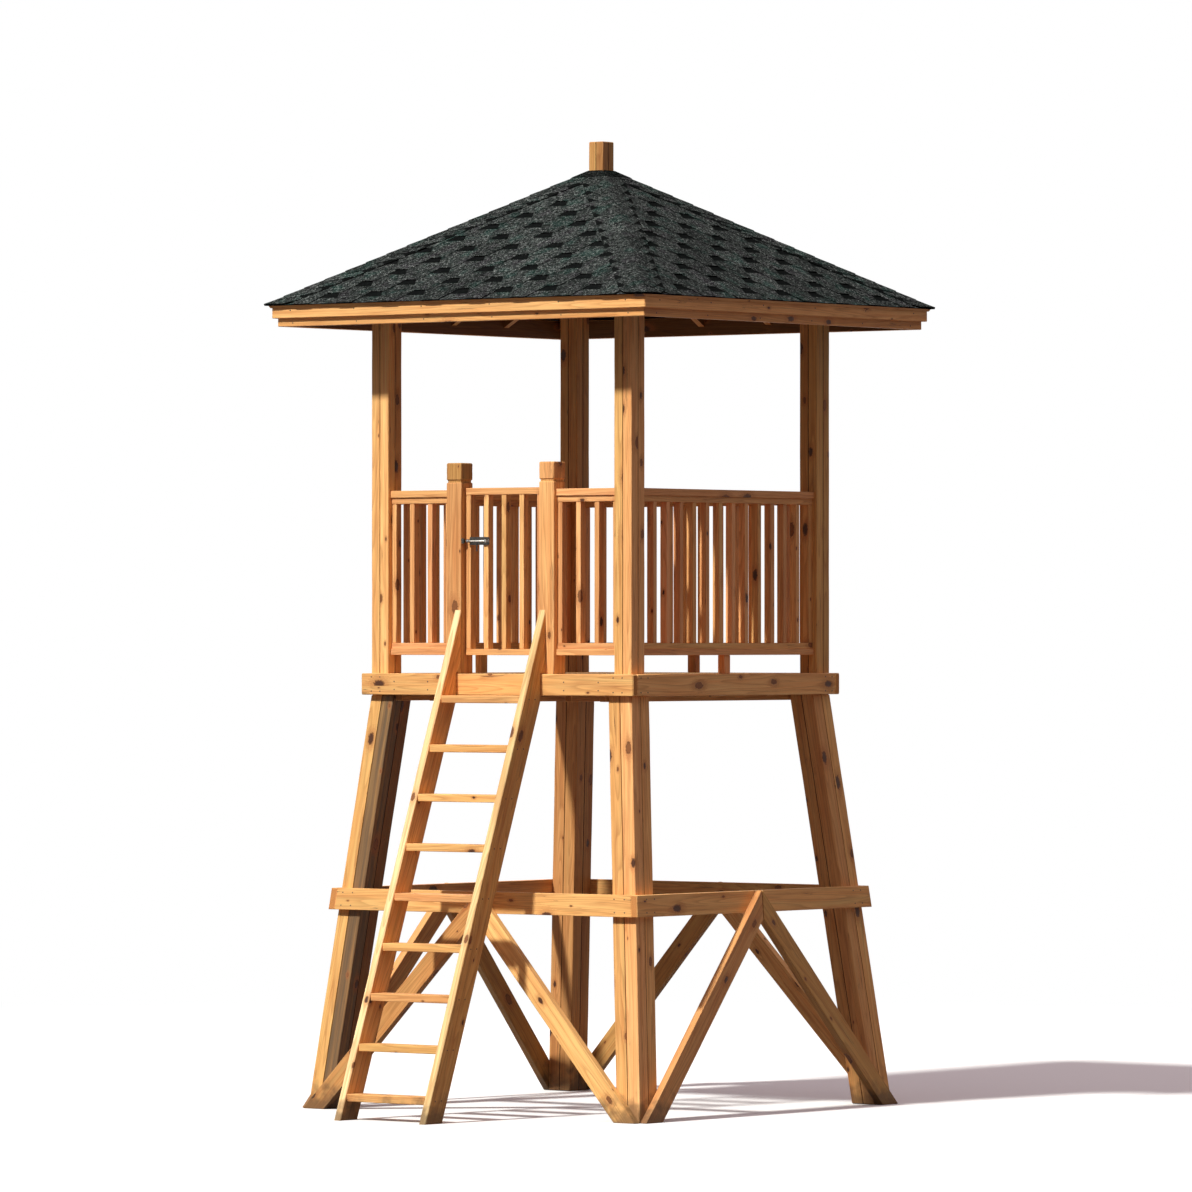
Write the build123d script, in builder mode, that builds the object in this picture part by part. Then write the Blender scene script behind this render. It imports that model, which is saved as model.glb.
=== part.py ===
import os
from math import atan, cos, radians, sin, sqrt, tan

from build123d import *

os.makedirs("parts", exist_ok=True)

# A timber lifeguard tower: four splayed legs carry a railed platform, reached by a ladder
# through a gate, under a pyramid roof. Sizes are in millimetres, heights from the ground.

# ---- platform ----
deck_height = 2430.0            # top of the deck above the ground
deck_thickness = 28.0
rim_height = 120.0              # boards round the platform's edge
board_thickness = 42.0          # rim and girt boards
joist_width = 45.0
joist_drop = 32.0               # the joists hang this far below the rim
joist_clearance = 14.5          # outer joists to the legs
joist_count = 7

# ---- posts and legs ----
post_width = 120.0
post_half_span = 917.0          # tower axis to the posts' outer faces
head_room = 2067.0              # deck to the underside of the wall plates
leg_width = 160.0
foot_half_span = 1168.0         # tower axis to the legs' outer faces on the ground

# ---- girts and braces ----
girt_height = 120.0
girt_level = 1110.0             # underside of the girts
brace_width = 110.0
brace_thickness = 45.0
brace_gap = 6.0                 # between two braces where they meet under the girt

# ---- guard rails, heights above the deck ----
rail_top = 1020.0
top_rail_height = 39.0
top_batten_height = 34.0
bottom_rail_level = 103.0
bottom_rail_height = 34.0
bottom_batten_height = 33.0
rail_depth = 70.0
batten_depth = 52.0
baluster_width = 32.0
baluster_depth = 45.0
rail_setback = 20.0             # behind the posts' outer faces
front_baluster_count = 4
side_baluster_count = 14
baluster_clearance = 0.5        # end balusters to posts
rail_block_width = 55.0         # block under the middle of a closed side's rail
rail_block_housing = 8.0        # the blocks are let this far into the deck
rail_block_clearance = 0.5      # blocks to the sides of their housings

# ---- gate ----
gate_post_width = 104.0
gate_post_height = 1170.0       # above the deck
gate_opening = 550.0            # between the gate posts
gate_hinge_clearance = 7.0      # leaf to post on the hinge side
gate_latch_clearance = 11.0     # leaf to post on the latch side
gate_top = 1030.0
gate_top_rail_height = 38.0
gate_baluster_count = 5
post_groove_drop = 103.0        # gate posts' tops down to the groove round them
post_groove_size = 12.0

# ---- gate hinges and slide bolt ----
lower_hinge_level = 286.0       # above the deck
hinge_half_height = 35.0
hinge_rail_gap = 12.0           # upper hinge to the gate's top rail
hinge_plate_thickness = 3.0
hinge_plate_width = 34.0
knuckle_radius = 6.0
pin_radius = 2.5
pin_clearance = 0.5
knuckle_clearance = 1.0         # between knuckles, and knuckle to post and leaf
bolt_level = 736.0              # above the deck
bolt_radius = 5.0
bolt_clearance = 0.5
bolt_plate_length = 140.0
bolt_plate_height = 44.0
bolt_plate_thickness = 3.0
bolt_throw = 22.0               # travel from withdrawn to shut
bolt_hold = 10.0                # length of the shut bolt inside the keeper
bolt_reach = 6.0                # withdrawn bolt's tip past its plate
bolt_setback = 8.0              # bolt axis behind the posts' outer faces
guide_length = 16.0
guide_wall = 4.0
keeper_length = 18.0
keeper_height = 28.0
handle_length = 58.0
handle_width = 9.0

# ---- ladder ----
ladder_reach = 1053.0           # foot of the ladder's front edge ahead of the posts' faces
ladder_top = 353.0              # top of the stringers above the deck
stringer_width = 140.0
stringer_thickness = 45.0
tread_thickness = 42.0
tread_depth = 120.0
first_tread_drop = 140.0        # deck top down to the middle of the top tread
tread_pitch = 271.0

# ---- roof ----
roof_slope = radians(30.4)
shingle_half_span = 1347.0      # tower axis to the shingles' edge
shingle_overhang = 34.0         # past the fascia's outer face
shingle_thickness = 12.0        # measured upright
sheathing_thickness = 18.0      # measured upright
sheathing_overhang = 12.0       # past the fascia's outer face
hip_gap = 1.5                   # each roof plane stops this far short of the hip line
rafter_depth = 90.0             # measured upright
rafter_width = 45.0
rafter_clearance = 0.2          # rafters to the roof boards over them
rafter_offsets = (240.0, 720.0)
fascia_thickness = 35.0
fascia_height = 107.0
trim_thickness = 23.0           # strip along the upper part of the fascia
trim_height = 61.0
plate_height = 120.0            # wall plates on the posts
king_post_width = 100.0
king_post_rise = 140.0          # above the point where the roof planes would meet
king_post_length = 330.0
edge_chamfer = 3.0

# ---- worked out from the sizes above ----
rim_bottom = deck_height - rim_height
rim_half_span = post_half_span + board_thickness
leg_splay = (foot_half_span - post_half_span) / rim_bottom
girt_top = girt_level + girt_height
plate_bottom = deck_height + head_room
joist_spread = 2 * (post_half_span - leg_width - joist_clearance) - joist_width
gate_post_inner = gate_opening / 2
gate_post_outer = gate_post_inner + gate_post_width
post_inner = post_half_span - post_width
rail_middle = post_half_span - rail_setback - rail_depth / 2
ladder_rise = deck_height + ladder_top
ladder_slope = ladder_reach / ladder_rise
ladder_foot = post_half_span + ladder_reach
tower_y = (ladder_foot - shingle_half_span) / 2
tread_room = deck_height - first_tread_drop - tread_thickness / 2
tread_count = int(tread_room / tread_pitch) + 1
upper_hinge_level = gate_top - gate_top_rail_height - hinge_rail_gap - hinge_half_height
hinge_levels = (lower_hinge_level, upper_hinge_level)
roof_rise = tan(roof_slope)
covering = shingle_thickness + sheathing_thickness
# the rafters rest on the wall plates' upper outer edges
rafter_seat = plate_bottom + plate_height + roof_rise * post_half_span
roof_apex = rafter_seat + rafter_depth + rafter_clearance + covering
fascia_half_span = shingle_half_span - shingle_overhang - trim_thickness
fascia_inner = fascia_half_span - fascia_thickness

side_names = ("front", "right", "back", "left")
corner_names = ("front_right", "back_right", "back_left", "front_left")


def turned(side):
    """Unit vectors along a side, seen from outside it, and outward from it."""
    turn = radians(90 * side)
    return Vector(cos(turn), sin(turn), 0), Vector(sin(turn), -cos(turn), 0)


def level(height, side=0):
    """Level plane centred on the tower axis; its -Y direction points out of the side."""
    along, _ = turned(side)
    return Plane(origin=(0, tower_y, height), x_dir=along, z_dir=(0, 0, 1))


def upright(side, out):
    """Upright plane facing out of a side, at a distance from the tower axis, from the ground."""
    along, outward = turned(side)
    return Plane(origin=Vector(0, tower_y, 0) + outward * out, x_dir=along, z_dir=outward)


def cross_section(side, along_side=0.0):
    """Upright plane square to a side; local X points outward and local Y up."""
    along, outward = turned(side)
    return Plane(origin=Vector(0, tower_y, 0) + along * along_side, x_dir=outward, z_dir=-along)


def save(piece, name):
    piece.part.label = name
    export_step(piece.part, f"parts/{name}.step")


def leg_outer(height):
    """Tower axis to the legs' outer faces at a height."""
    return post_half_span + leg_splay * (rim_bottom - height)


def roof_top(out):
    """Height of the shingles' upper face at a distance out from the tower axis."""
    return roof_apex - roof_rise * out


# ---- legs: square timbers that lean out on both faces, cut level at both ends ----
def make_leg(corner):
    with BuildPart() as leg:
        for height in (0.0, rim_bottom):
            middle = leg_outer(height) - leg_width / 2
            with BuildSketch(level(height, corner)):
                with Locations((middle, -middle)):
                    Rectangle(leg_width, leg_width)
        loft()
    save(leg, f"leg_{corner_names[corner]}")


# ---- girts: boards on the legs' outer faces; the left and right ones cap the others' ends ----
def make_girt(side):
    with BuildPart() as girt:
        for height in (girt_level, girt_top):
            inner = leg_outer(height)
            half_length = inner + (board_thickness if side in (1, 3) else 0.0)
            with BuildSketch(level(height, side)):
                with Locations((0, -(inner + board_thickness / 2))):
                    Rectangle(2 * half_length, board_thickness)
        loft()
    save(girt, f"girt_{side_names[side]}")


# ---- braces: a pair on each side, from the middle of the girt down to the feet ----
# Their inner faces lie on a plane through the girt's lower outer edge and the legs' feet.
def make_braces(side):
    girt_out = leg_outer(girt_level) + board_thickness
    lean = atan((foot_half_span - girt_out) / girt_level)
    along, outward = turned(side)
    up_slope = Vector(0, 0, cos(lean)) - outward * sin(lean)
    face = Plane(
        origin=Vector(0, tower_y, 0) + outward * foot_half_span,
        x_dir=along,
        z_dir=along.cross(up_slope),
    )
    crown = girt_top / cos(lean)
    run = foot_half_span - brace_gap / 2
    foot_width = brace_width * sqrt(crown**2 + run**2) / crown
    crown_height = brace_width * sqrt(crown**2 + run**2) / run
    # the boards are drawn a little too long and trimmed level with the ground
    spare = brace_thickness
    tip = foot_half_span + spare * run / crown
    with BuildPart() as braces:
        with BuildSketch(face):
            with BuildLine():
                Polyline(
                    (brace_gap / 2, crown),
                    (tip, -spare),
                    (tip - foot_width, -spare),
                    (brace_gap / 2, crown - crown_height),
                    close=True,
                )
            make_face()
            mirror(about=Plane.YZ)
        extrude(amount=brace_thickness)
        split(bisect_by=Plane.XY, keep=Keep.TOP)
    save(braces, f"braces_{side_names[side]}")


# ---- rim boards round the platform; the front and back ones cap the corners ----
def make_rim(sides, name):
    with BuildPart() as rim:
        for side in sides:
            half_length = rim_half_span if side in (0, 2) else post_half_span
            with BuildSketch(level(rim_bottom, side)):
                with Locations((0, -(post_half_span + board_thickness / 2))):
                    Rectangle(2 * half_length, board_thickness)
        extrude(amount=rim_height)
    save(rim, name)


def gate_post_footprints(mode=Mode.ADD):
    """Both gate posts in plan, drawn in the sketch that is open."""
    middle = (gate_post_inner + gate_post_outer) / 2
    with Locations((0, -(post_half_span - gate_post_width / 2))):
        with GridLocations(2 * middle, 1, 2, 1):
            Rectangle(gate_post_width, gate_post_width, mode=mode)


# ---- joists between the front and back rims ----
def make_joists():
    joist_bottom = rim_bottom - joist_drop
    with BuildPart() as joists:
        with BuildSketch(level(joist_bottom)):
            with GridLocations(joist_spread / (joist_count - 1), 1, joist_count, 1):
                Rectangle(joist_width, 2 * post_half_span)
        extrude(amount=deck_height - deck_thickness - joist_bottom)
        # a joist under a gate post is notched for it
        with BuildSketch(level(rim_bottom)):
            gate_post_footprints()
        extrude(amount=rim_height, mode=Mode.SUBTRACT)
    save(joists, "joists")


# ---- deck, notched round the posts, with housings for the blocks under the rails ----
def make_deck():
    corner = post_half_span - post_width / 2
    with BuildPart() as deck:
        with BuildSketch(level(deck_height)):
            Rectangle(2 * post_half_span, 2 * post_half_span)
            with GridLocations(2 * corner, 2 * corner, 2, 2):
                Rectangle(post_width, post_width, mode=Mode.SUBTRACT)
            gate_post_footprints(mode=Mode.SUBTRACT)
        extrude(amount=-deck_thickness)
        for side in (1, 2, 3):
            with BuildSketch(level(deck_height, side)):
                with Locations((0, -rail_middle)):
                    Rectangle(rail_block_width + 2 * rail_block_clearance,
                              baluster_depth + 2 * rail_block_clearance)
        extrude(amount=-rail_block_housing, mode=Mode.SUBTRACT)
    save(deck, "deck")


# ---- corner posts, standing on the legs and carrying the wall plates ----
def make_post(corner):
    middle = post_half_span - post_width / 2
    with BuildPart() as post:
        with BuildSketch(level(rim_bottom, corner)):
            with Locations((middle, -middle)):
                Rectangle(post_width, post_width)
        extrude(amount=plate_bottom - rim_bottom)
    save(post, f"post_{corner_names[corner]}")


# ---- gate posts, with a groove round each near its top ----
def make_gate_posts():
    top = deck_height + gate_post_height
    core_width = gate_post_width - post_groove_size
    with BuildPart() as posts:
        with BuildSketch(level(rim_bottom)):
            gate_post_footprints()
        extrude(amount=top - rim_bottom)
        chamfer(posts.faces().sort_by(Axis.Z)[-2:].edges(), length=edge_chamfer)
        # a narrow band is cut away round each post
        with BuildSketch(level(top - post_groove_drop)):
            gate_post_footprints()
            with Locations((0, -(post_half_span - gate_post_width / 2))):
                with GridLocations(gate_post_inner + gate_post_outer, 1, 2, 1):
                    Rectangle(core_width, core_width, mode=Mode.SUBTRACT)
        extrude(amount=post_groove_size / 2, both=True, mode=Mode.SUBTRACT)
    save(posts, "gate_posts")


# ---- guard panels: rails and battens with upright balusters between them ----
def bar(side, low, high, start, end, depth):
    """One bar along a side, between two heights above the deck and two places along it."""
    with BuildSketch(level(deck_height + low, side)) as outline:
        with Locations(((start + end) / 2, -rail_middle)):
            Rectangle(end - start, depth)
    extrude(outline.sketch, amount=high - low)


def balusters(side, low, high, start, end, count):
    """Evenly spaced uprights; the first and last reach the ends of the run."""
    spacing = (end - start - baluster_width) / (count - 1)
    with BuildSketch(level(deck_height + low, side)) as outline:
        with Locations(((start + end) / 2, -rail_middle)):
            with GridLocations(spacing, 1, count, 1):
                Rectangle(baluster_width, baluster_depth)
    extrude(outline.sketch, amount=high - low)


def make_panel(side, start, end, count, name, with_block):
    top_batten_level = rail_top - top_rail_height - top_batten_height
    bottom_batten_level = bottom_rail_level + bottom_rail_height
    baluster_bottom = bottom_batten_level + bottom_batten_height
    with BuildPart() as panel:
        bar(side, rail_top - top_rail_height, rail_top, start, end, rail_depth)
        bar(side, top_batten_level, rail_top - top_rail_height, start, end, batten_depth)
        bar(side, bottom_batten_level, baluster_bottom, start, end, batten_depth)
        bar(side, bottom_rail_level, bottom_batten_level, start, end, rail_depth)
        inset = baluster_clearance
        balusters(side, baluster_bottom, top_batten_level, start + inset, end - inset, count)
        if with_block:
            half_block = rail_block_width / 2
            bar(side, -rail_block_housing, bottom_rail_level, -half_block, half_block,
                baluster_depth)
    save(panel, name)


# ---- gate leaf, a little narrower than the opening ----
gate_left = -gate_post_inner + gate_latch_clearance
gate_right = gate_post_inner - gate_hinge_clearance


def make_gate():
    rail_bottom = gate_top - gate_top_rail_height
    baluster_bottom = bottom_rail_level + bottom_rail_height
    with BuildPart() as gate:
        bar(0, rail_bottom, gate_top, gate_left, gate_right, batten_depth)
        bar(0, bottom_rail_level, baluster_bottom, gate_left, gate_right, batten_depth)
        balusters(0, baluster_bottom, rail_bottom, gate_left, gate_right, gate_baluster_count)
    save(gate, "gate")


# ---- gate hinges: knuckles behind the leaf, beside the right gate post ----
pin_x = gate_post_inner - knuckle_radius - knuckle_clearance
pin_back = rail_middle - baluster_depth / 2 - knuckle_radius - knuckle_clearance
knuckle_third = 2 * hinge_half_height / 3


def make_gate_hinges():
    plate_back = rail_middle - baluster_depth / 2
    with BuildPart() as hinges:
        for hinge_level in hinge_levels:
            bottom = deck_height + hinge_level - hinge_half_height
            with BuildSketch(level(bottom)):
                with Locations((pin_x - hinge_plate_width / 2,
                                -(plate_back - hinge_plate_thickness / 2))):
                    Rectangle(hinge_plate_width, hinge_plate_thickness)
            extrude(amount=2 * hinge_half_height)
            # the plate is cut back beside the post's knuckles
            for start in (bottom, bottom + 2 * knuckle_third):
                with BuildSketch(level(start)):
                    with Locations((pin_x, -pin_back)):
                        Circle(knuckle_radius + knuckle_clearance)
                extrude(amount=knuckle_third, mode=Mode.SUBTRACT)
            with BuildSketch(level(bottom + knuckle_third + knuckle_clearance)):
                with Locations((pin_x, -pin_back)):
                    Circle(knuckle_radius)
            extrude(amount=knuckle_third - 2 * knuckle_clearance)
            with BuildSketch(level(bottom)):
                with Locations((pin_x, -pin_back)):
                    Circle(pin_radius + pin_clearance)
            extrude(amount=2 * hinge_half_height, mode=Mode.SUBTRACT)
    save(hinges, "gate_hinge_plates")


def make_post_hinges():
    post_back = post_half_span - gate_post_width
    front = pin_back
    with BuildPart() as hinges:
        for hinge_level in hinge_levels:
            bottom = deck_height + hinge_level - hinge_half_height
            with BuildSketch(level(bottom)):
                with Locations((gate_post_inner - hinge_plate_thickness / 2,
                                -(front + post_back) / 2)):
                    Rectangle(hinge_plate_thickness, front - post_back)
                with Locations((pin_x, -pin_back)):
                    Circle(knuckle_radius)
            extrude(amount=2 * hinge_half_height)
            # room for the gate's knuckle and plate
            with BuildSketch(level(bottom + knuckle_third)):
                with Locations((pin_x, -pin_back)):
                    Circle(knuckle_radius + knuckle_clearance)
            extrude(amount=knuckle_third, mode=Mode.SUBTRACT)
            with BuildSketch(level(bottom)):
                with Locations((pin_x, -pin_back)):
                    Circle(pin_radius)
            extrude(amount=2 * hinge_half_height)
    save(hinges, "post_hinge_plates")


# ---- slide bolt on the gate's face and its keeper on the left gate post ----
bolt_out = post_half_span - bolt_setback
plate_out = rail_middle + baluster_depth / 2
keeper_end = -gate_post_inner + keeper_length
bolt_tip = keeper_end + bolt_throw - bolt_hold
plate_start = bolt_tip + bolt_reach
guide_out = bolt_radius + bolt_clearance + guide_wall


def make_bolt_guide():
    with BuildPart() as guide:
        with BuildSketch(upright(0, plate_out)):
            with Locations((plate_start + bolt_plate_length / 2, deck_height + bolt_level)):
                Rectangle(bolt_plate_length, bolt_plate_height)
        extrude(amount=bolt_plate_thickness)
        # two loops hold the bolt
        for start in (plate_start, plate_start + bolt_plate_length - guide_length):
            with BuildSketch(cross_section(0, start)):
                with Locations((bolt_out, deck_height + bolt_level)):
                    Circle(guide_out)
                with Locations(((bolt_out + plate_out) / 2, deck_height + bolt_level)):
                    Rectangle(bolt_out - plate_out, 2 * guide_out)
                with Locations((bolt_out, deck_height + bolt_level)):
                    Circle(bolt_radius + bolt_clearance, mode=Mode.SUBTRACT)
            extrude(amount=-guide_length)
    save(guide, "bolt_guide")


def make_bolt_rod():
    handle_start = plate_start + bolt_plate_length / 2
    with BuildPart() as rod:
        with BuildSketch(cross_section(0, bolt_tip)):
            with Locations((bolt_out, deck_height + bolt_level)):
                Circle(bolt_radius)
        extrude(amount=-(plate_start + bolt_plate_length - bolt_tip))
        with BuildSketch(upright(0, bolt_out - bolt_radius / 2)):
            with Locations((handle_start, deck_height + bolt_level - handle_length / 2)):
                Rectangle(handle_width, handle_length)
        extrude(amount=bolt_radius)
    save(rod, "bolt_rod")


def make_bolt_keeper():
    with BuildPart() as keeper:
        with BuildSketch(cross_section(0, -gate_post_inner)):
            with Locations((bolt_out, deck_height + bolt_level)):
                Rectangle(2 * bolt_setback, keeper_height)
                Circle(bolt_radius + 2 * bolt_clearance, mode=Mode.SUBTRACT)
        extrude(amount=-keeper_length)
    save(keeper, "bolt_keeper")


# ---- ladder: two raked stringers that step over the rim, and level treads ----
def make_stringers():
    across = stringer_width * sqrt(1 + ladder_slope**2)
    back_foot = ladder_foot - across
    meet = (back_foot - rim_half_span) / ladder_slope
    with BuildPart() as stringers:
        for start in (-gate_post_inner - stringer_thickness, gate_post_inner):
            with BuildSketch(cross_section(0, start)):
                with BuildLine():
                    Polyline(
                        (ladder_foot, 0),
                        (post_half_span, ladder_rise),
                        (post_half_span, deck_height),
                        (rim_half_span, deck_height),
                        (rim_half_span, meet),
                        (back_foot, 0),
                        close=True,
                    )
                make_face()
            extrude(amount=-stringer_thickness)
    save(stringers, "ladder_stringers")


def make_treads():
    with BuildPart() as treads:
        for number in range(tread_count):
            top = deck_height - first_tread_drop - number * tread_pitch + tread_thickness / 2
            front = ladder_foot - ladder_slope * top
            with BuildSketch(level(top)):
                with Locations((0, -(front - tread_depth / 2))):
                    Rectangle(gate_opening, tread_depth)
            extrude(amount=-tread_thickness)
    save(treads, "ladder_treads")


# ---- wall plates on the posts ----
def make_plates(sides, name):
    with BuildPart() as plates:
        for side in sides:
            half_length = post_half_span if side in (0, 2) else post_inner
            with BuildSketch(level(plate_bottom, side)):
                with Locations((0, -(post_half_span - post_width / 2))):
                    Rectangle(2 * half_length, post_width)
        extrude(amount=plate_height)
    save(plates, name)


# ---- rafters: their tops lie under the sheathing and their feet meet the fascia ----
def make_hip_rafters():
    # Along a hip, height falls by the roof's rise over the square root of two.
    hip_rise = roof_rise / sqrt(2)
    side_drop = hip_rise * rafter_width / 2
    top = roof_apex - covering - rafter_clearance - side_drop
    start = king_post_width / sqrt(2)
    end = fascia_inner * sqrt(2) - rafter_width / 2
    with BuildPart() as hips:
        for corner in range(4):
            turn = radians(90 * corner - 45)
            out = Vector(cos(turn), sin(turn), 0)
            across = Vector(-sin(turn), cos(turn), 0)
            plane = Plane(origin=Vector(0, tower_y, 0), x_dir=out, z_dir=-across)
            with BuildSketch(plane):
                with BuildLine():
                    Polyline(
                        (start, top - hip_rise * start),
                        (end, top - hip_rise * end),
                        (end, top - hip_rise * end - rafter_depth + side_drop),
                        (start, top - hip_rise * start - rafter_depth + side_drop),
                        close=True,
                    )
                make_face()
            extrude(amount=rafter_width / 2, both=True)
    save(hips, "hip_rafters")


def make_jack_rafters():
    hip_side = rafter_width / sqrt(2)
    top = roof_apex - covering - rafter_clearance
    with BuildPart() as jacks:
        for side in range(4):
            for offset in rafter_offsets:
                for sign in (-1, 1):
                    inner_edge = offset + rafter_width / 2 + hip_side
                    with BuildSketch(cross_section(side, sign * offset)):
                        with BuildLine():
                            Polyline(
                                (inner_edge, top - roof_rise * inner_edge),
                                (fascia_inner, top - roof_rise * fascia_inner),
                                (fascia_inner, top - roof_rise * fascia_inner - rafter_depth),
                                (inner_edge, top - roof_rise * inner_edge - rafter_depth),
                                close=True,
                            )
                        make_face()
                    extrude(amount=rafter_width / 2, both=True)
    save(jacks, "jack_rafters")


# ---- roof planes: four plates, each short of the hips, thickness measured upright ----
def make_roof_planes(half_span, offset, thickness, name):
    with BuildPart() as planes:
        for side in range(4):
            along, outward = turned(side)
            up_slope = Vector(0, 0, sin(roof_slope)) - outward * cos(roof_slope)
            face = Plane(
                origin=(0, tower_y, roof_apex - offset),
                x_dir=along,
                z_dir=along.cross(up_slope),
            )
            inner = king_post_width / 2 + hip_gap
            with BuildSketch(face):
                with BuildLine():
                    Polyline(
                        (hip_gap - half_span, -half_span / cos(roof_slope)),
                        (half_span - hip_gap, -half_span / cos(roof_slope)),
                        (inner - hip_gap, -inner / cos(roof_slope)),
                        (hip_gap - inner, -inner / cos(roof_slope)),
                        close=True,
                    )
                make_face()
            extrude(amount=thickness, dir=(0, 0, -1))
    save(planes, name)


# ---- fascia boards, mitred at the corners, with a strip along their upper part ----
def mitred_board(side, bottom, top, inner, outer):
    with BuildSketch(level(bottom, side)) as outline:
        with BuildLine():
            Polyline(
                (-outer, -outer),
                (outer, -outer),
                (inner, -inner),
                (-inner, -inner),
                close=True,
            )
        make_face()
    extrude(outline.sketch, amount=top - bottom)


def make_fascia(sides, name):
    trim_outer = fascia_half_span + trim_thickness
    fascia_top = roof_top(trim_outer) - covering
    with BuildPart() as fascia:
        for side in sides:
            mitred_board(side, fascia_top - fascia_height, fascia_top, fascia_inner,
                         fascia_half_span)
            mitred_board(side, fascia_top - trim_height, fascia_top, fascia_half_span,
                         trim_outer)
    save(fascia, name)


# ---- king post through the top of the roof ----
def make_king_post():
    with BuildPart() as post:
        with BuildSketch(level(roof_apex + king_post_rise)):
            Rectangle(king_post_width, king_post_width)
        extrude(amount=-king_post_length)
        chamfer(post.faces().sort_by(Axis.Z)[-1].edges(), length=edge_chamfer)
    save(post, "king_post")


for index in range(4):
    make_leg(index)
    make_girt(index)
    make_braces(index)
    make_post(index)
make_rim((0, 2), "rim_front_back")
make_rim((1, 3), "rim_sides")
make_joists()
make_deck()
make_gate_posts()
make_panel(0, -post_inner, -gate_post_outer, front_baluster_count, "front_left_panel", False)
make_panel(0, gate_post_outer, post_inner, front_baluster_count, "front_right_panel", False)
for index in (1, 2, 3):
    make_panel(index, -post_inner, post_inner, side_baluster_count,
               f"{side_names[index]}_panel", True)
make_gate()
make_gate_hinges()
make_post_hinges()
make_bolt_guide()
make_bolt_rod()
make_bolt_keeper()
make_stringers()
make_treads()
make_plates((0, 2), "wall_plates_front_back")
make_plates((1, 3), "wall_plates_sides")
make_hip_rafters()
make_jack_rafters()
sheathing_half_span = fascia_half_span + trim_thickness + sheathing_overhang
make_roof_planes(sheathing_half_span, shingle_thickness, sheathing_thickness, "roof_boards")
make_roof_planes(shingle_half_span, 0.0, shingle_thickness, "shingles")
make_fascia((0, 2), "fascia_front_back")
make_fascia((1, 3), "fascia_sides")
make_king_post()
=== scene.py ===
# A timber lifeguard tower: boards, shingles and fittings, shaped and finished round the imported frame.
from itertools import product
from math import atan, cos, pi, radians, sin, sqrt

import bpy
import numpy as np
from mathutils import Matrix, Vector
from mathutils.geometry import tessellate_polygon


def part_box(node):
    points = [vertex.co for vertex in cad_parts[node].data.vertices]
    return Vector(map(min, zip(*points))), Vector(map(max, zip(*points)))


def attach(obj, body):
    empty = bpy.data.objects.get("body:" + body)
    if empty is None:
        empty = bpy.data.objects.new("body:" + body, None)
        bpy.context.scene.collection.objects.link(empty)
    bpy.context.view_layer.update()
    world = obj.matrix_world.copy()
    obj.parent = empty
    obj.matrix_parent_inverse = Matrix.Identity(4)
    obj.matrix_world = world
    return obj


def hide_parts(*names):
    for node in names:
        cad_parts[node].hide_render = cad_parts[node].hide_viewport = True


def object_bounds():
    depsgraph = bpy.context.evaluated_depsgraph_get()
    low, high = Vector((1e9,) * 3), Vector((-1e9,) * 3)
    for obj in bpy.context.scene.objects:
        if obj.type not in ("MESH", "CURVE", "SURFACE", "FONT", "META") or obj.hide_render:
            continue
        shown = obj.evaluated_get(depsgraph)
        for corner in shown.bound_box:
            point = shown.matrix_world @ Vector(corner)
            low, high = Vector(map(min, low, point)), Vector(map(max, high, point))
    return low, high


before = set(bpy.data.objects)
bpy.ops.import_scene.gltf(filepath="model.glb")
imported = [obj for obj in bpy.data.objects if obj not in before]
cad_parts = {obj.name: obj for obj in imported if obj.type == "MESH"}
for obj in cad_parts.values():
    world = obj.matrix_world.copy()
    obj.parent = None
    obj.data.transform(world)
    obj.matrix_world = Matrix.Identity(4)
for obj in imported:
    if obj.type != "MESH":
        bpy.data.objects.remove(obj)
cadLow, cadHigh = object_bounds()

# measures read from the frame, in metres; the tower's own axis stands at x = 0, y = towerY
deckLow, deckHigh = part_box("deck")
towerY, deckTop = (deckLow.y + deckHigh.y) / 2, deckHigh.z
postLow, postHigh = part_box("post_front_right")
postInner, postSpan, postTop = postLow.x, postHigh.x, postHigh.z
legInner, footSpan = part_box("leg_front_right")[0].x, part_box("leg_front_right")[1].x
rimBottom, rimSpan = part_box("rim_sides")[0].z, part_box("rim_sides")[1].x
gatePostInner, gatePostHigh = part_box("ladder_treads")[1].x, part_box("gate_posts")[1]
gatePostOuter, gatePostTop = gatePostHigh.x, gatePostHigh.z
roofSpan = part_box("shingles")[1].x
print("frame read: deck at %.3f m, roof %.3f m across" % (deckTop, 2 * roofSpan))

up = np.array([0.0, 0.0, 1.0])


def turned(side):
    # unit vectors along a side and outward from it; sides 0 to 3 are front, right, back and left
    turn = radians(90 * side)
    return np.array([cos(turn), sin(turn), 0.0]), np.array([sin(turn), -cos(turn), 0.0])


def spot(side, along, out, height):
    # the point so far along a side, so far out from the tower's axis, at a height
    sideways, outward = turned(side)
    return np.array([0.0, towerY, height]) + along * sideways + out * outward


def unit(vector):
    return vector / np.linalg.norm(vector)


class Signal:
    # one output of a shader node; sums, products and powers of it lay Math nodes in the tree being made
    tree = None

    def __init__(self, socket):
        self.socket = socket

    def __getitem__(self, output):
        # another output of the same node
        return Signal(self.socket.node.outputs[output])


def feed(socket, value):
    # a socket takes a signal or a plain value
    if isinstance(value, Signal):
        Signal.tree.links.new(value.socket, socket)
    else:
        socket.default_value = value


def node(kind, inputs=(), output=0, **settings):
    # a new node, its inputs fed by name or in their order
    made = Signal.tree.nodes.new("ShaderNode" + kind)
    for key, value in settings.items():
        setattr(made, key, value)
    for key, value in inputs.items() if isinstance(inputs, dict) else enumerate(inputs):
        feed(made.inputs[key], value)
    return Signal(made.outputs[output])


def calc(operation, *values, clamp=False):
    return node("Math", values, operation=operation, use_clamp=clamp)


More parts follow.
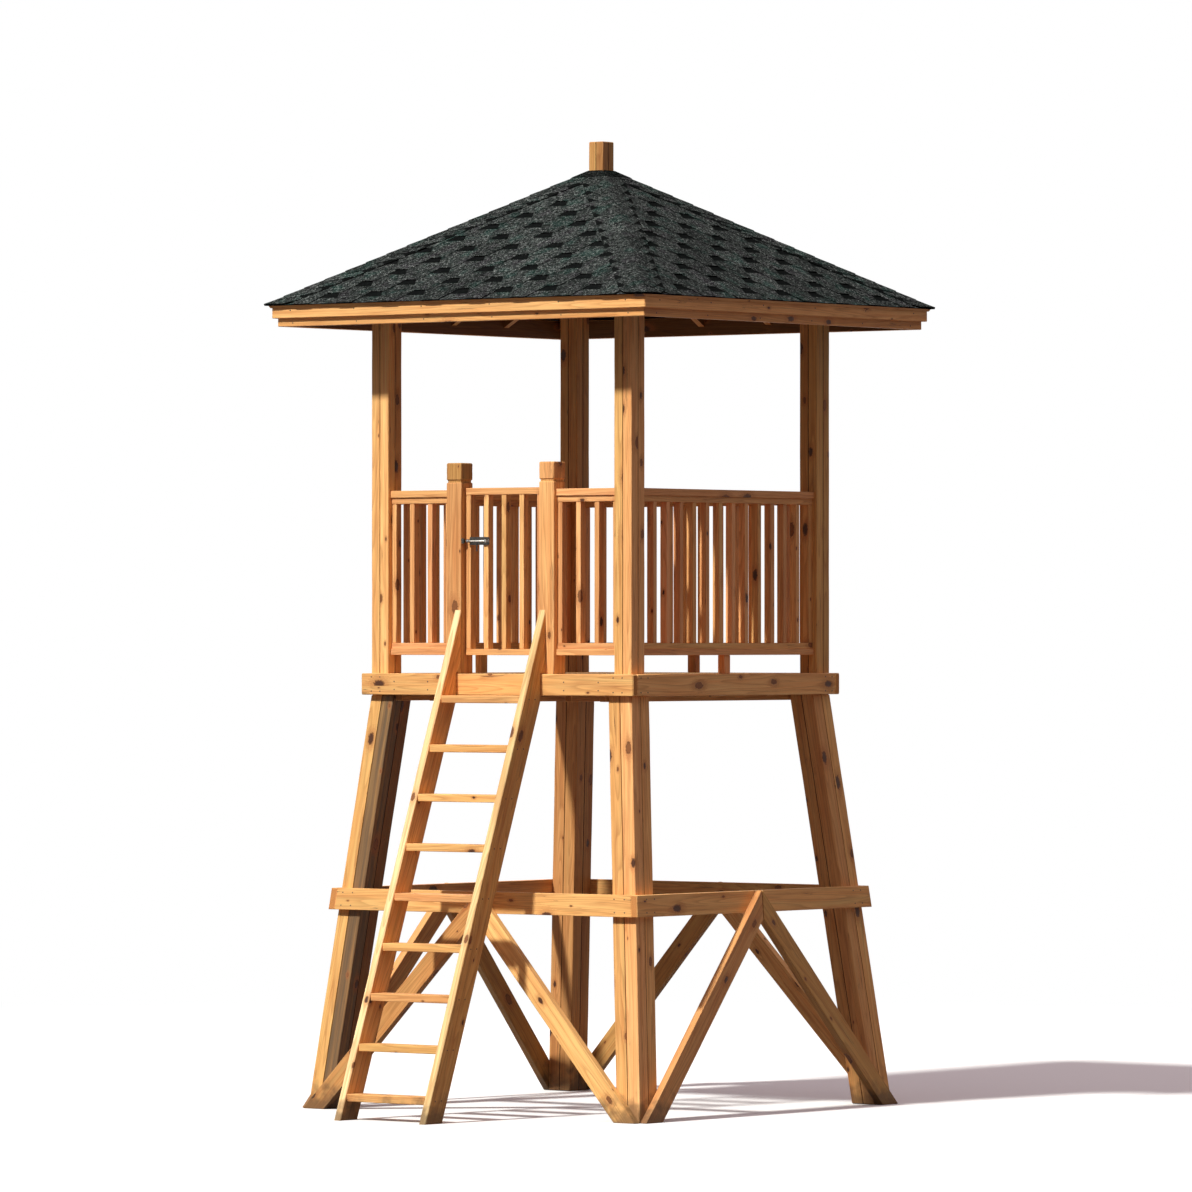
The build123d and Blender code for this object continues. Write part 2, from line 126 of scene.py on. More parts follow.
for sign, operation in dict(add="ADD", sub="SUBTRACT", mul="MULTIPLY", truediv="DIVIDE", pow="POWER").items():
    setattr(Signal, "__%s__" % sign, lambda first, second, kind=operation: calc(kind, first, second))
    setattr(Signal, "__r%s__" % sign, lambda first, second, kind=operation: calc(kind, second, first))


def combine(x=0.0, y=0.0, z=0.0):
    return node("CombineXYZ", (x, y, z))


def split(signal):
    parts = node("SeparateXYZ", (signal,))
    return parts, parts[1], parts[2]


def grainNoise(vector, scale=1.0, detail=2.0, roughness=0.5):
    return node("TexNoise", dict(Vector=vector, Scale=scale, Detail=detail, Roughness=roughness))


def cellColours(vector, scale):
    # three random numbers for each cell of a broken-up pattern
    return split(node("TexVoronoi", dict(Vector=vector, Scale=scale), "Color", feature="F1"))


def remap(value, low, high, toLow=0.0, toHigh=1.0, smooth=False):
    return node("MapRange", (value, low, high, toLow, toHigh),
                interpolation_type="SMOOTHSTEP" if smooth else "LINEAR")


def blend(amount, first, second, mode="MIX"):
    first, second = [(*colour, 1) if isinstance(colour, tuple) else colour for colour in (first, second)]
    return node("Mix", {0: amount, 6: first, 7: second}, 2, data_type="RGBA", blend_type=mode)


def shaded(colour, shade):
    return blend(1.0, colour, combine(shade, shade, shade), "MULTIPLY")


def faceValue(title):
    return node("Attribute", (), "Fac", attribute_name=title)


def ownPlace():
    return node("TexCoord", (), "Object")


def newMaterial(name):
    # the tree of the newest material is the one that nodes go into
    material = bpy.data.materials.new(name)
    material.use_nodes = True
    Signal.tree = material.node_tree
    return material


def coat(material, colour, rough, specular=None, metal=None, relief=None, strength=1.0, depth=0.001):
    # the shader's sockets; the relief is a bump of so many metres
    values = {"Base Color": colour, "Roughness": rough, "Specular IOR Level": specular, "Metallic": metal}
    if relief is not None:
        values["Normal"] = node("Bump", dict(Strength=strength, Distance=depth, Height=relief))
    for title, value in values.items():
        if value is not None:
            feed(Signal.tree.nodes["Principled BSDF"].inputs[title], value)
    return material


pineLooks = dict(
    pale=(0.930, 0.545, 0.205),  # stained sapwood in full light
    warm=(0.790, 0.355, 0.112),  # where more stain was drawn in
    late=(0.440, 0.168, 0.048),  # the dark lines of the rings
    soaked=(0.420, 0.142, 0.044),  # long brown streaks of stain
    olive=(0.480, 0.370, 0.140),  # the green tinge of preserved timber
    knot=(0.075, 0.027, 0.012),
    knotRim=(0.110, 0.038, 0.014),
    knotRed=(0.270, 0.100, 0.034),  # the heart of a live knot
    grey=(0.185, 0.135, 0.088),  # weathered timber
    damp=(0.085, 0.050, 0.028),  # foot of the legs
    knotCell=(0.38, 0.120),  # one chance of a knot in each cell, along and across
    knotShare=0.62,
    knotRadius=(0.0030, 0.0190),
    knotLength=1.9,  # knots are drawn out along the grain
    knotRings=1900.0,  # radians a metre, across a knot
    ringSpread=15.0,
    rough=0.58, gloss=0.22, relief=0.6, reliefDepth=0.0012,
    # patterns drawn out along the grain: rate along and across, layer, detail and roughness
    drift=(1.3, 6.0, 0.0), cloud=(2.4, 9.0, 0.0), crackPlace=(3.0, 14.0, 3.0, 1.0),
    swell=(0.55, 11.0, 0.0, 1.0, 0.4), fibre=(9.0, 620.0, 0.0), streak=(1.1, 42.0, 0.0, 3.0, 0.6),
    soak=(1.6, 30.0, 11.0, 3.0, 0.65), tinge=(0.9, 16.0, 5.0), crackLine=(1.7, 75.0, 7.0, 1.0),
)


def pineMaterial(name, **stain):
    looks = dict(pineLooks, **stain)
    material = newMaterial(name)
    boardMap = node("UVMap", uv_map="board")
    along, around, _ = split(boardMap)
    tone, weather = faceValue("tone"), faceValue("weather")

    def grainLines(across, titles):
        # noises stretched along the grain, each by its own rates
        return [grainNoise(combine(along * alongRate, across * acrossRate, layer), 1.0, *rest)
                for alongRate, acrossRate, layer, *rest in (looks[title] for title in titles.split())]

    def fade(value, low, high):
        return remap(value, low, high, 1, 0, smooth=True)

    # a knot may stand in each cell; the cell's random colour says whether, how large and how dark
    cellLong, cellWide = looks["knotCell"]
    cell = combine(along / cellLong, around / cellWide)
    knots = node("TexVoronoi", dict(Vector=cell, Scale=1.0, Randomness=0.85), "Color",
                 voronoi_dimensions="2D", feature="F1")
    gapLong, gapWide, _ = split(node("VectorMath", (cell, knots["Position"]), operation="SUBTRACT"))
    awayLong, awayWide = gapLong * cellLong / looks["knotLength"], gapWide * cellWide
    chanceOf, sizeOf, darkOf = split(knots)
    present = calc("LESS_THAN", chanceOf, looks["knotShare"])
    radius = remap(sizeOf ** 1.6, 0, 1, *looks["knotRadius"]) * present
    wobble = remap(grainNoise(boardMap, 90.0), 0.3, 0.7, 0.82, 1.18)
    reach = calc("SQRT", awayLong ** 2 + awayWide ** 2) * wobble
    # the grain parts round a knot as water does round a post
    drift, cloud, crackPlace = grainLines(around, "drift cloud crackPlace")
    ratio = radius / calc("MAXIMUM", reach, 0.0005)
    bend = calc("MINIMUM", ratio ** 2, 1.0) * remap(ratio, 0.10, 0.22, smooth=True)
    bent = around - awayWide * bend + (drift - 0.5) * 0.022
    lines = "swell fibre streak soak tinge crackLine"
    swell, fibre, streak, soak, tinge, crackLine = grainLines(bent, lines)
    # rings are the contour lines of a long soft noise, dark on one side of each line
    phase = calc("FRACT", swell * looks["ringSpread"])
    late = phase ** 2.4 * fade(phase, 0.88, 1.0)
    warmth = calc("ADD", remap(streak, 0.32, 0.70, 0.0, 0.75), cloud * 0.9 - 0.33, clamp=True)
    colour = blend(warmth, looks["pale"], looks["warm"])
    # weathering is a greyer skin where the face says so, patchy along the streaks
    greyPatch = calc("MULTIPLY", weather, remap(streak, 0.30, 0.60, 0.55, 1.1), clamp=True)
    for amount, title in ((late * 0.62, "late"), (remap(soak, 0.50, 0.74, 0, 0.60), "soaked"),
                          (remap(tinge, 0.56, 0.74, 0, 0.30), "olive"), (greyPatch, "grey")):
        colour = blend(amount, colour, looks[title])
    shade = remap(fibre, 0.3, 0.7, 0.88, 1.08) * calc("MAXIMUM", 1.0 + tone, 0.05)
    redness = calc("FRACT", tone * 53.0) - 0.5
    shades = combine(shade ** 0.85, shade * (1.0 - redness * 0.13), shade ** 1.25)
    colour = blend(1.0, colour, shades, "MULTIPLY")
    # fine drying cracks along the grain
    crack = remap(calc("ABSOLUTE", crackLine - 0.5), 0.0, 0.012, 1, 0) * remap(crackPlace, 0.60, 0.68)
    # knots: a dark heart, a red-brown rim and a faint warm halo
    away = reach / calc("MAXIMUM", radius, 0.0001)
    heart, rim, halo = fade(away, 0.72, 0.98), fade(away, 0.95, 1.30), fade(away, 1.1, 3.2)
    heartColour = blend(remap(darkOf, 0.45, 0.6), looks["knotRed"], looks["knot"])
    heartColour = shaded(heartColour, remap(calc("SINE", reach * looks["knotRings"]), -1, 1, 0.70, 1.15))
    for amount, layer in ((halo * 0.50, looks["soaked"]), (rim * 0.88, looks["knotRim"]),
                          (heart * 0.95, heartColour), (crack * 0.75, looks["knot"])):
        colour = blend(amount, colour, layer)
    # damp feet: darker towards the ground with a ragged upper edge
    place = ownPlace()
    line = split(place)[2] - (grainNoise(place, 14.0, 3.0) - 0.5) * 0.30
    colour = blend(remap(line, 0.02, 0.17, 0.72, 0.0, smooth=True), colour, looks["damp"])
    # relief: raised late wood, fibres, sunken cracks and a rim round each knot
    relief = late * 0.35 + fibre * 0.45 - crack * 2.2 - (rim - heart) * 0.8
    return coat(material, colour, looks["rough"] + (fibre - 0.5) * 0.25, looks["gloss"], relief=relief,
                strength=looks["relief"], depth=looks["reliefDepth"])


def endGrainMaterial(name, **stain):
    # the sawn end of a board: growth rings round the tree's heart, drawn darker by the stain
    looks = dict(pineLooks, **stain)
    material = newMaterial(name)
    boardMap = node("UVMap", uv_map="board")
    rings = node("TexWave", dict(Vector=boardMap, Scale=60.0, Distortion=1.4, Detail=2.0), "Fac",
                 wave_type="RINGS", rings_direction="Z")
    shade = remap(grainNoise(boardMap, 300.0), 0.3, 0.7, 0.8, 1.1) * (0.86 + faceValue("tone"))
    return coat(material, shaded(blend(rings, looks["warm"], looks["late"]), shade), 0.78, 0.2,
                relief=rings, strength=0.5)


stains = dict(
    rosy=dict(pale=(0.930, 0.512, 0.205), warm=(0.790, 0.350, 0.125), soaked=(0.420, 0.145, 0.050)),
    # a dark brown for the wall plates: painted shade under the roof
    brown=dict(pale=(0.330, 0.175, 0.080), warm=(0.250, 0.120, 0.050), late=(0.130, 0.055, 0.022)),
    dark=dict(pale=(0.080, 0.046, 0.034), warm=(0.058, 0.032, 0.024), late=(0.034, 0.018, 0.013)),
    # a paler stain for a painted highlight on the ladder's raked fronts
    worn=dict(pale=(0.960, 0.720, 0.370), warm=(0.900, 0.540, 0.230), soaked=(0.620, 0.300, 0.110)),
)
pine = [pineMaterial("stainedPine"), endGrainMaterial("pineEndGrain")]
rosyPine, shadeBrownPine, darkPine = [
    [pineMaterial(stain + "Pine", **stains[stain]), endGrainMaterial(stain + "EndGrain", **stains[stain])]
    for stain in ("rosy", "brown", "dark")]
highlightPine = pineMaterial("highlightPine", **stains["worn"])
print("pine finishes made")


def makePiece(name, parts, finishes=pine, body="tower", nodes=None):
    # One mesh of all the parts, each part's corners numbered after the ones before it, with the board
    # map, tones and finish of every face. It stands for the frame's node of its own name or those given.
    joined = {key: [] for key in parts[0]}
    first = 0
    for part in parts:
        for key in joined:
            joined[key].append(part[key] + first if key in ("quads", "triangles") else part[key])
        first += len(part["points"])
    part = {key: np.concatenate(values) for key, values in joined.items()}
    fours, threes = len(part["quads"]), len(part["triangles"])

    def store(where, key, values, kind=np.float32):
        where.foreach_set(key, np.concatenate([np.ravel(value) for value in values]).astype(kind))

    mesh = bpy.data.meshes.new(name)
    mesh.vertices.add(first)
    mesh.loops.add(4 * fours + 3 * threes)
    mesh.polygons.add(fours + threes)
    store(mesh.vertices, "co", [part["points"]])
    store(mesh.loops, "vertex_index", [part["quads"], part["triangles"]], np.int32)
    store(mesh.polygons, "loop_start", [np.arange(fours) * 4, 4 * fours + np.arange(threes) * 3], np.int32)
    store(mesh.polygons, "material_index", [part["quadKind"], part["triangleKind"]], np.int32)
    store(mesh.polygons, "use_smooth", [part["quadSmooth"], np.zeros(threes)], bool)
    store(mesh.uv_layers.new(name="board").data, "uv", [part["quadMap"], part["triangleMap"]])
    for index, title in enumerate(("tone", "weather")):
        store(mesh.attributes.new(title, "FLOAT", "FACE").data, "value",
              [part["quadTone"][:, index], part["triangleTone"][:, index]])
    for finish in finishes:
        mesh.materials.append(finish)
    mesh.update(calc_edges=True)
    mesh.validate()
    piece = bpy.data.objects.new(name, mesh)
    bpy.context.scene.collection.objects.link(piece)
    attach(piece, body)
    nodes = [name.replace(".", "_")] if nodes is None else nodes
    if nodes:
        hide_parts(*nodes)


boardLooks = dict(
    arris=0.003,  # radius of a planed board's edges
    arcSteps=3,  # faces round each edge
    stationLength=0.12,  # spacing of the cross-sections along a board
    unevenness=0.35,  # how much an edge's radius wanders
    wanderRate=6,  # and how quickly
    toneSpread=0.20,  # light and dark boards
    grooveTone=-0.62,  # painted shade in the grooves between glued-up planks
    mapSpread=40,  # every board's map starts somewhere else
    heartReach=0.6,  # how far from a board's middle the tree's heart was, in board widths
)


def boardProfile(width, depth, groove):
    # A rectangle with rounded corners, counter-clockwise; a groove is a V in the middle of each face.
    # Each point is its corner's own point plus the edge's radius times a direction.
    steps = np.linspace(0, pi / 2, boardLooks["arcSteps"] + 1)
    middles, directions, planks, sunk = [], [], [], []
    for corner, (signX, signY) in enumerate(((1, -1), (1, 1), (-1, 1), (-1, -1))):
        angles = steps + (corner - 1) * pi / 2
        middles += [(signX * width / 2, signY * depth / 2)] * len(steps)
        directions += list(np.stack([np.cos(angles) - signX, np.sin(angles) - signY], 1))
        planks += [corner] * len(steps)
        sunk += [False] * len(steps)
        if groove:
            outward = np.array(((1, 0), (0, 1), (-1, 0), (0, -1))[corner], float)
            tangent = np.array((-outward[1], outward[0]))
            face = outward * (width / 2 if corner in (0, 2) else depth / 2)
            middles += [face - tangent * groove / 2, face - outward * groove, face + tangent * groove / 2]
            directions += [(0.0, 0.0)] * 3
            planks += [corner, (corner + 1) % 4, (corner + 1) % 4]
            sunk += [True, True, False]
    return np.array(middles), np.array(directions), np.array(planks), np.array(sunk)


def wander(chance, stations, lines):
    # smooth noise between -1 and 1 along each line: three sine waves with random phases
    waves, strengths = np.array([[1.3, 2.9, 5.3], [0.5, 0.3, 0.2]])[..., None, None]
    phases = chance.uniform(0, 2 * pi, (3, 1, lines))
    return (strengths * np.sin(waves * stations[None, :, None] + phases)).sum(0)


def ringFaces(rings, count):
    # the points' numbers in rings, their next neighbours round the ring, and the faces from ring to ring
    index = np.arange(rings * count).reshape(rings, count)
    right = np.roll(index, -1, 1)
    return index, right, np.stack([index[:-1], right[:-1], right[1:], index[1:]], -1).reshape(-1, 4)


def board(chance, start, end, face, width, depth, cuts=None, radius=boardLooks["arris"], groove=0.0,
          tone=0.0, weather=0.0, backTone=0.0, finish=0, axes=None):
    # The profile carried in a straight line from start to end. Every point of it begins and stops
    # where its own line meets the two cutting planes, and both ends are eased a little.
    length = np.linalg.norm(end - start)
    along = unit(end - start)
    across = unit(np.cross(face, along))
    through = np.cross(along, across)
    if axes is not None:
        # a board sheared to lean with what it lies on
        across, through = axes if np.dot(np.cross(*axes), along) > 0 else (-axes[0], axes[1])
    middles, directions, planks, sunk = boardProfile(width, depth, groove)
    count = len(middles)
    share = np.linspace(0, 1, max(3, int(length / boardLooks["stationLength"]) + 2))
    rings = len(share) + 2
    rate = share * length * boardLooks["wanderRate"]
    radii = radius * (1 + boardLooks["unevenness"] * wander(chance, rate, 4)[:, planks])
    flat = middles + directions * radii[..., None]
    drawnIn = 1 - radius / np.array([width / 2, depth / 2])
    eased = np.concatenate([flat[:1] * drawnIn, flat, flat[-1:] * drawnIn])
    offsets = eased[..., :1] * across + eased[..., 1:] * through
    first, last = [((point - start - offsets) @ normal) / (along @ normal)
                   for point, normal in cuts or ((start, -along), (end, along))]
    ease = np.full((rings, 1), radius)
    ease[[0, -1]] = 0
    distance = first + ease + (last - first - 2 * ease) * np.concatenate([[0], share, [1]])[:, None]
    points = start + offsets + distance[..., None] * along
    index, right, quads = ringFaces(rings, count)
    # the map: distance along the board and round it, moved to a random place for every plank
    nominal = middles + directions * radius
    girth = np.append(0, np.cumsum(np.linalg.norm(np.roll(nominal, -1, 0) - nominal, axis=1)))
    low, high = [np.broadcast_to(row, (rings - 1, count)) for row in (girth[:-1], girth[1:])]
    plankCount = 4 if groove else 1
    plankOf = planks if groove else np.zeros(count, int)
    shifts = chance.uniform(0, boardLooks["mapSpread"], (plankCount, 2))
    flips = chance.choice([-1.0, 1.0], plankCount)
    near, far = distance, np.roll(distance, -1, 1)
    quadMap = np.stack([near[:-1], low, far[:-1], high, far[1:], high, near[1:], low], -1)
    quadMap = quadMap.reshape(rings - 1, count, 4, 2) * flips[plankOf][:, None, None]
    quadMap = (quadMap + shifts[plankOf][:, None]).reshape(-1, 4, 2)
    tones, weathers = [np.broadcast_to(value, 4)[:plankCount] for value in (tone, weather)]
    tones = tones + chance.uniform(-1, 1, plankCount) * boardLooks["toneSpread"]
    # the grooves' faces are darkened as painted shade
    shades = tones[plankOf] + sunk * boardLooks["grooveTone"]
    shades[-1] += backTone      # the last face of the profile is the board's back
    # the sawn ends: a fan round a middle point, mapped by the distance from the tree's heart
    heart = chance.uniform(-1, 1, 2) * boardLooks["heartReach"] * (width, depth) + shifts[0]
    ends, endMaps, hubs = [], [], []
    for row, order in ((0, 1), (-1, -1)):
        outline, hub = eased[row], np.full(count, rings * count + len(ends))
        ends.append(np.stack([hub, *[right[row], index[row]][::order]], 1))
        middle = np.broadcast_to(outline.mean(0), (count, 2))
        endMaps.append(np.stack([middle, *[np.roll(outline, -1, 0), outline][::order]], 1) + heart)
        hubs.append(points[row].mean(0))
    return dict(
        points=np.concatenate([points.reshape(-1, 3), hubs]), quads=quads, triangles=np.concatenate(ends),
        quadMap=quadMap, triangleMap=np.concatenate(endMaps),
        quadTone=np.tile(np.stack([shades, weathers[plankOf]], 1), (rings - 1, 1)),
        triangleTone=np.tile([tones[0], weathers[0]], (2 * count, 1)),
        quadKind=np.full(len(quads), 2 * finish), triangleKind=np.full(2 * count, 2 * finish + 1),
        # arcs are shaded smooth, the planed faces flat
        quadSmooth=np.tile(np.arange(count // 4) < boardLooks["arcSteps"], 4 * (rings - 1)))


def bar(chance, side, start, end, out, height, width, depth, face=None, slant=0.0, **more):
    # a level board along a side, its middle so far out and so high; slant leans the cuts at both ends
    sideways, outward = turned(side)
    low, high = spot(side, start, out, height), spot(side, end, out, height)
    return board(chance, low, high, outward if face is None else face, width, depth,
                 ((low, slant - sideways), (high, slant + sideways)), **more)


def upright(chance, side, along, out, low, high, width, depth, **more):
    # a plumb board that faces out from a side
    return board(chance, spot(side, along, out, low), spot(side, along, out, high), turned(side)[1],
                 width, depth, **more)


def bySides(title, seed, sideBoards, finishes=pine):
    # one piece for the front and back and another for both sides, from the boards of each side
    for first, ending in enumerate((".front.back", ".sides")):
        chance = np.random.default_rng(seed + first)
        makePiece(title + ending, [part for side in (first, first + 2) for part in sideBoards(chance, side)],
                  finishes)


def plainPart(points, quads, places, tone=0.0, kind=0, smooth=False, triangles=np.zeros((0, 3), int)):
    # a part whose every point has its own spot on the map
    tones = np.zeros((len(quads), 2))
    tones[:, 0] = tone
    return dict(points=points, quads=quads, triangles=triangles, quadMap=places[quads],
                triangleMap=places[triangles], quadTone=tones, triangleTone=np.zeros((len(triangles), 2)),
                quadKind=np.zeros(len(quads), int) + kind, triangleKind=np.zeros(len(triangles), int),
                quadSmooth=np.full(len(quads), smooth))


def slab(top, bottom, places, tone=0.0, kind=0, wallTone=0.0):
    # Two grids of points, one over the other, closed round their edges. The grid's first direction
    # crossed with its second points outwards. Faces with no area are left out.
    columns, rows = top.shape[:2]
    index = np.arange(columns * rows).reshape(columns, rows)
    faces = np.stack([index[:-1, :-1], index[1:, :-1], index[1:, 1:], index[:-1, 1:]], -1).reshape(-1, 4)
    edge = np.concatenate([index[:, 0], index[-1, 1:], index[-2::-1, -1], index[0, -2:0:-1]])
    after, under = np.roll(edge, -1), columns * rows
    walls = np.stack([edge, edge + under, after + under, after], 1)
    quads = np.concatenate([faces, faces[:, ::-1] + under, walls])
    points = np.concatenate([top.reshape(-1, 3), bottom.reshape(-1, 3)])
    tones = np.tile(np.broadcast_to(tone, (columns, rows)).ravel(), 2)[quads[:, 0]]
    tones[-len(walls):] += wallTone
    first, second = points[quads[:, 2]] - points[quads[:, 0]], points[quads[:, 3]] - points[quads[:, 1]]
    kept = np.linalg.norm(np.cross(first, second), axis=1) > 1e-9
    return plainPart(points, quads[kept], np.tile(places.reshape(-1, 2), (2, 1)), tones[kept], kind)


def circles(facings, sides):
    # the points of a unit circle square to each facing
    first = np.cross(np.where(np.abs(facings[:, 2:]) < 0.9, up, [1.0, 0, 0]), facings)
    first = (first / np.linalg.norm(first, axis=1)[:, None])[:, None]
    angles = np.linspace(0, 2 * pi, sides, endpoint=False)[:, None]
    return np.cos(angles) * first + np.sin(angles) * np.cross(facings[:, None], first)


def turning(start, direction, distances, radii, sides):
    # A profile turned round a straight axis: a ring of points at each distance, and a point at both ends.
    centres = start + direction * distances[:, None]
    rings = centres[:, None] + circles(direction[None], sides) * radii[:, None, None]
    index, right, quads = ringFaces(len(distances), sides)
    hub = np.full(sides, index.size)
    fans = [np.stack(fan, 1) for fan in ((hub, right[0], index[0]), (hub + 1, index[-1], right[-1]))]
    points = np.concatenate([rings.reshape(-1, 3), centres[[0, -1]]])
    return plainPart(points, quads, points[:, :2], smooth=True, triangles=np.concatenate(fans))


def heads(places, facings, radius, rise, sides=12):
    # Nail or screw heads, all at once: three rings and a middle point on each, domed by the rise.
    places, facings = np.array(places)[:, None], np.array([unit(facing) for facing in facings])
    circle, facings = circles(facings, sides), facings[:, None]
    rings = [places + radius * wide * circle + facings * high
             for wide, high in ((1.0, -rise), (1.0, 0.35 * rise), (0.7, 0.85 * rise))]
    points = np.concatenate(rings + [places + facings * rise], 1)
    index, right, quads = ringFaces(3, sides)
    fan = np.stack([np.full(sides, index.size), index[2], right[2]], 1)
    starts = np.arange(len(places))[:, None, None] * points.shape[1]
    points = points.reshape(-1, 3)
    return plainPart(points, (starts + quads).reshape(-1, 4), points[:, [0, 2]], smooth=True,
                     triangles=(starts + fan).reshape(-1, 3))


# legs and posts: timbers glued up from four, with a V where the four meet
legLooks = dict(
    groove=0.006, arris=0.005,
    # front right, back right, back left, front left; the front posts are lighter and the back posts darker as
    # painted light and shade, and the back-left leg and the last leg's first plank are darker as painted
    # shade; the last leg's four planks are also weathered unequally
    postTones=(0.18, -0.26, -0.30, 0.17),
    legTones=(0.04, 0.02, -0.20, (-0.88, 0.0, 0.08, -0.35)),
    legGreys=(0.0, 0.0, 0.0, (0.10, 0.0, 0.0, 0.85)),
)
legWidth, postWidth = postSpan - legInner, postSpan - postInner
legSplay = (footSpan - postSpan) / rimBottom
sideNames = ("front", "right", "back", "left")


def legOuter(height):
    # the tower's axis to the legs' outer faces at a height
    return postSpan + legSplay * (rimBottom - height)


def makeLegsAndPosts():
    # square timbers: a leg leans outwards both ways from the foot of its post, cut level at both ends
    edges = dict(radius=legLooks["arris"], groove=legLooks["groove"])
    for corner, title in enumerate(("front_right", "back_right", "back_left", "front_left")):
        chance = np.random.default_rng(100 + corner)
        foot, head = [spot(corner, middle, middle, height) for middle, height in
                      ((footSpan - legWidth / 2, 0.0), (postSpan - legWidth / 2, rimBottom))]
        leg = board(chance, foot, head, turned(corner)[1], legWidth, legWidth, ((foot, -up), (head, up)),
                    tone=legLooks["legTones"][corner], weather=legLooks["legGreys"][corner], **edges)
        makePiece("leg." + title, [leg])
        middle = postSpan - postWidth / 2
        makePiece("post." + title, [upright(chance, corner, middle, middle, rimBottom, postTop, postWidth,
                                            postWidth, tone=legLooks["postTones"][corner], **edges)])


makeLegsAndPosts()
print("legs and posts made")

# girts: boards on the legs' outer faces, leaning with them
girtLow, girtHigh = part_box("girt_front")
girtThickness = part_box("girt_right")[1].x - legOuter(girtLow.z)
girtLooks = dict(tone=0.08)


def makeGirts():
    middle = (girtLow.z + girtHigh.z) / 2
    for side, title in enumerate(sideNames):
        outward = turned(side)[1]
        half = legOuter(middle) + girtThickness * (side in (1, 3))
        girt = bar(np.random.default_rng(120 + side), side, -half, half, legOuter(middle) + girtThickness / 2,
                   middle, girtHigh.z - girtLow.z, girtThickness, slant=up * legSplay, tone=girtLooks["tone"],
                   axes=(up - outward * legSplay, outward))
        makePiece("girt." + title, [girt])


makeGirts()

# braces: two boards on each side, from the middle of the girt down to the feet
braceLooks = dict(
    width=0.110, thickness=0.045, gap=0.006,
    # front, right, back and left, each pair from left to right as seen from outside; the tones are painted
    # light and shade, the back pair's first brace lighter and every other brace with a tone darker
    tones=((-0.12, 0.0), (0.0, -0.38), (0.38, -0.36), (-0.52, 0.0)),
)


def makeBraces():
    # each board lies on the plane through the girt's lower outer edge and the feet
    width, thickness, gap = braceLooks["width"], braceLooks["thickness"], braceLooks["gap"]
    lean = atan((footSpan - legOuter(girtLow.z) - girtThickness) / girtLow.z)
    crown, run = girtHigh.z / cos(lean), footSpan - gap / 2
    diagonal = sqrt(crown ** 2 + run ** 2)
    footWidth, crownHeight = width * diagonal / crown, width * diagonal / run
    for side, title in enumerate(sideNames):
        chance = np.random.default_rng(140 + side)
        sideways, outward = turned(side)
        slope = up * cos(lean) - outward * sin(lean)
        facing = np.cross(sideways, slope)
        base = spot(side, 0.0, footSpan, 0.0) + facing * thickness / 2
        pair = []
        for sign, tone in zip((-1, 1), braceLooks["tones"][side]):
            top = base + sign * gap / 2 * sideways + (crown - crownHeight / 2) * slope
            foot = base + sign * (footSpan - footWidth / 2) * sideways
            pair.append(board(chance, foot, top, facing, width, thickness,
                              ((up * 0, -up), (top, -sign * sideways)), tone=tone))
        makePiece("braces." + title, pair)


makeBraces()
print("girts and braces made")

# platform: rim boards, joists and a deck of separate boards
platformLooks = dict(joistCount=7, joistWidth=0.045, deckBoardWidth=0.128, deckGap=0.005, deckEnd=0.001,
                     # the rim tones are for the front and back, and for the sides; the sides' higher tone is
                     # painted light on faces in shade
                     deckWeather=(0.18, 0.36), rimArris=0.006, rimTones=(0.15, 0.24))
rimThickness = rimSpan - postSpan


def rimBoards(chance, side):
    # the front and back boards run the whole width, the side boards fit between them
    half = (rimSpan, postSpan)[side % 2]
    return [bar(chance, side, -half, half, postSpan + rimThickness / 2, (rimBottom + deckTop) / 2,
                deckTop - rimBottom, rimThickness, radius=platformLooks["rimArris"],
                tone=platformLooks["rimTones"][side % 2])]


def joistPlaces():
    # the joists' middles, evenly spaced across the tower
    low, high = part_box("joists")
    inset = platformLooks["joistWidth"] / 2
    return np.linspace(low.x + inset, high.x - inset, platformLooks["joistCount"])


def makeJoists():
    low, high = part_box("joists")
    chance = np.random.default_rng(170)
    ends = [[np.array([x, y, (low.z + high.z) / 2]) for y in (low.y, high.y)] for x in joistPlaces()]
    makePiece("floor.joists", [board(chance, *pair, np.array([1.0, 0, 0]), high.z - low.z,
                                     platformLooks["joistWidth"]) for pair in ends], nodes=["joists"])


def deckRows():
    # the lines between the deck's boards, front to back; the outer rows run between the corner posts
    rows = int(round(2 * postInner / (platformLooks["deckBoardWidth"] + platformLooks["deckGap"])))
    return np.concatenate([[-postSpan], np.linspace(-postInner, postInner, rows + 1), [postSpan]])


def makeDeck():
    # level boards between neighbouring lines, each a gap narrower than its row
    thickness, edges = deckHigh.z - deckLow.z, deckRows()
    chance = np.random.default_rng(171)
    boards = []
    for row, (front, back) in enumerate(zip(edges[:-1], edges[1:])):
        half = (postInner if row in (0, len(edges) - 2) else postSpan) - platformLooks["deckEnd"]
        boards.append(bar(chance, 0, -half, half, -(front + back) / 2, deckTop - thickness / 2,
                          back - front - platformLooks["deckGap"], thickness, up,
                          weather=chance.uniform(*platformLooks["deckWeather"])))
    makePiece("deck.boards", boards, nodes=["deck"])


bySides("rim", 160, rimBoards)
makeJoists()
makeDeck()
print("platform made")

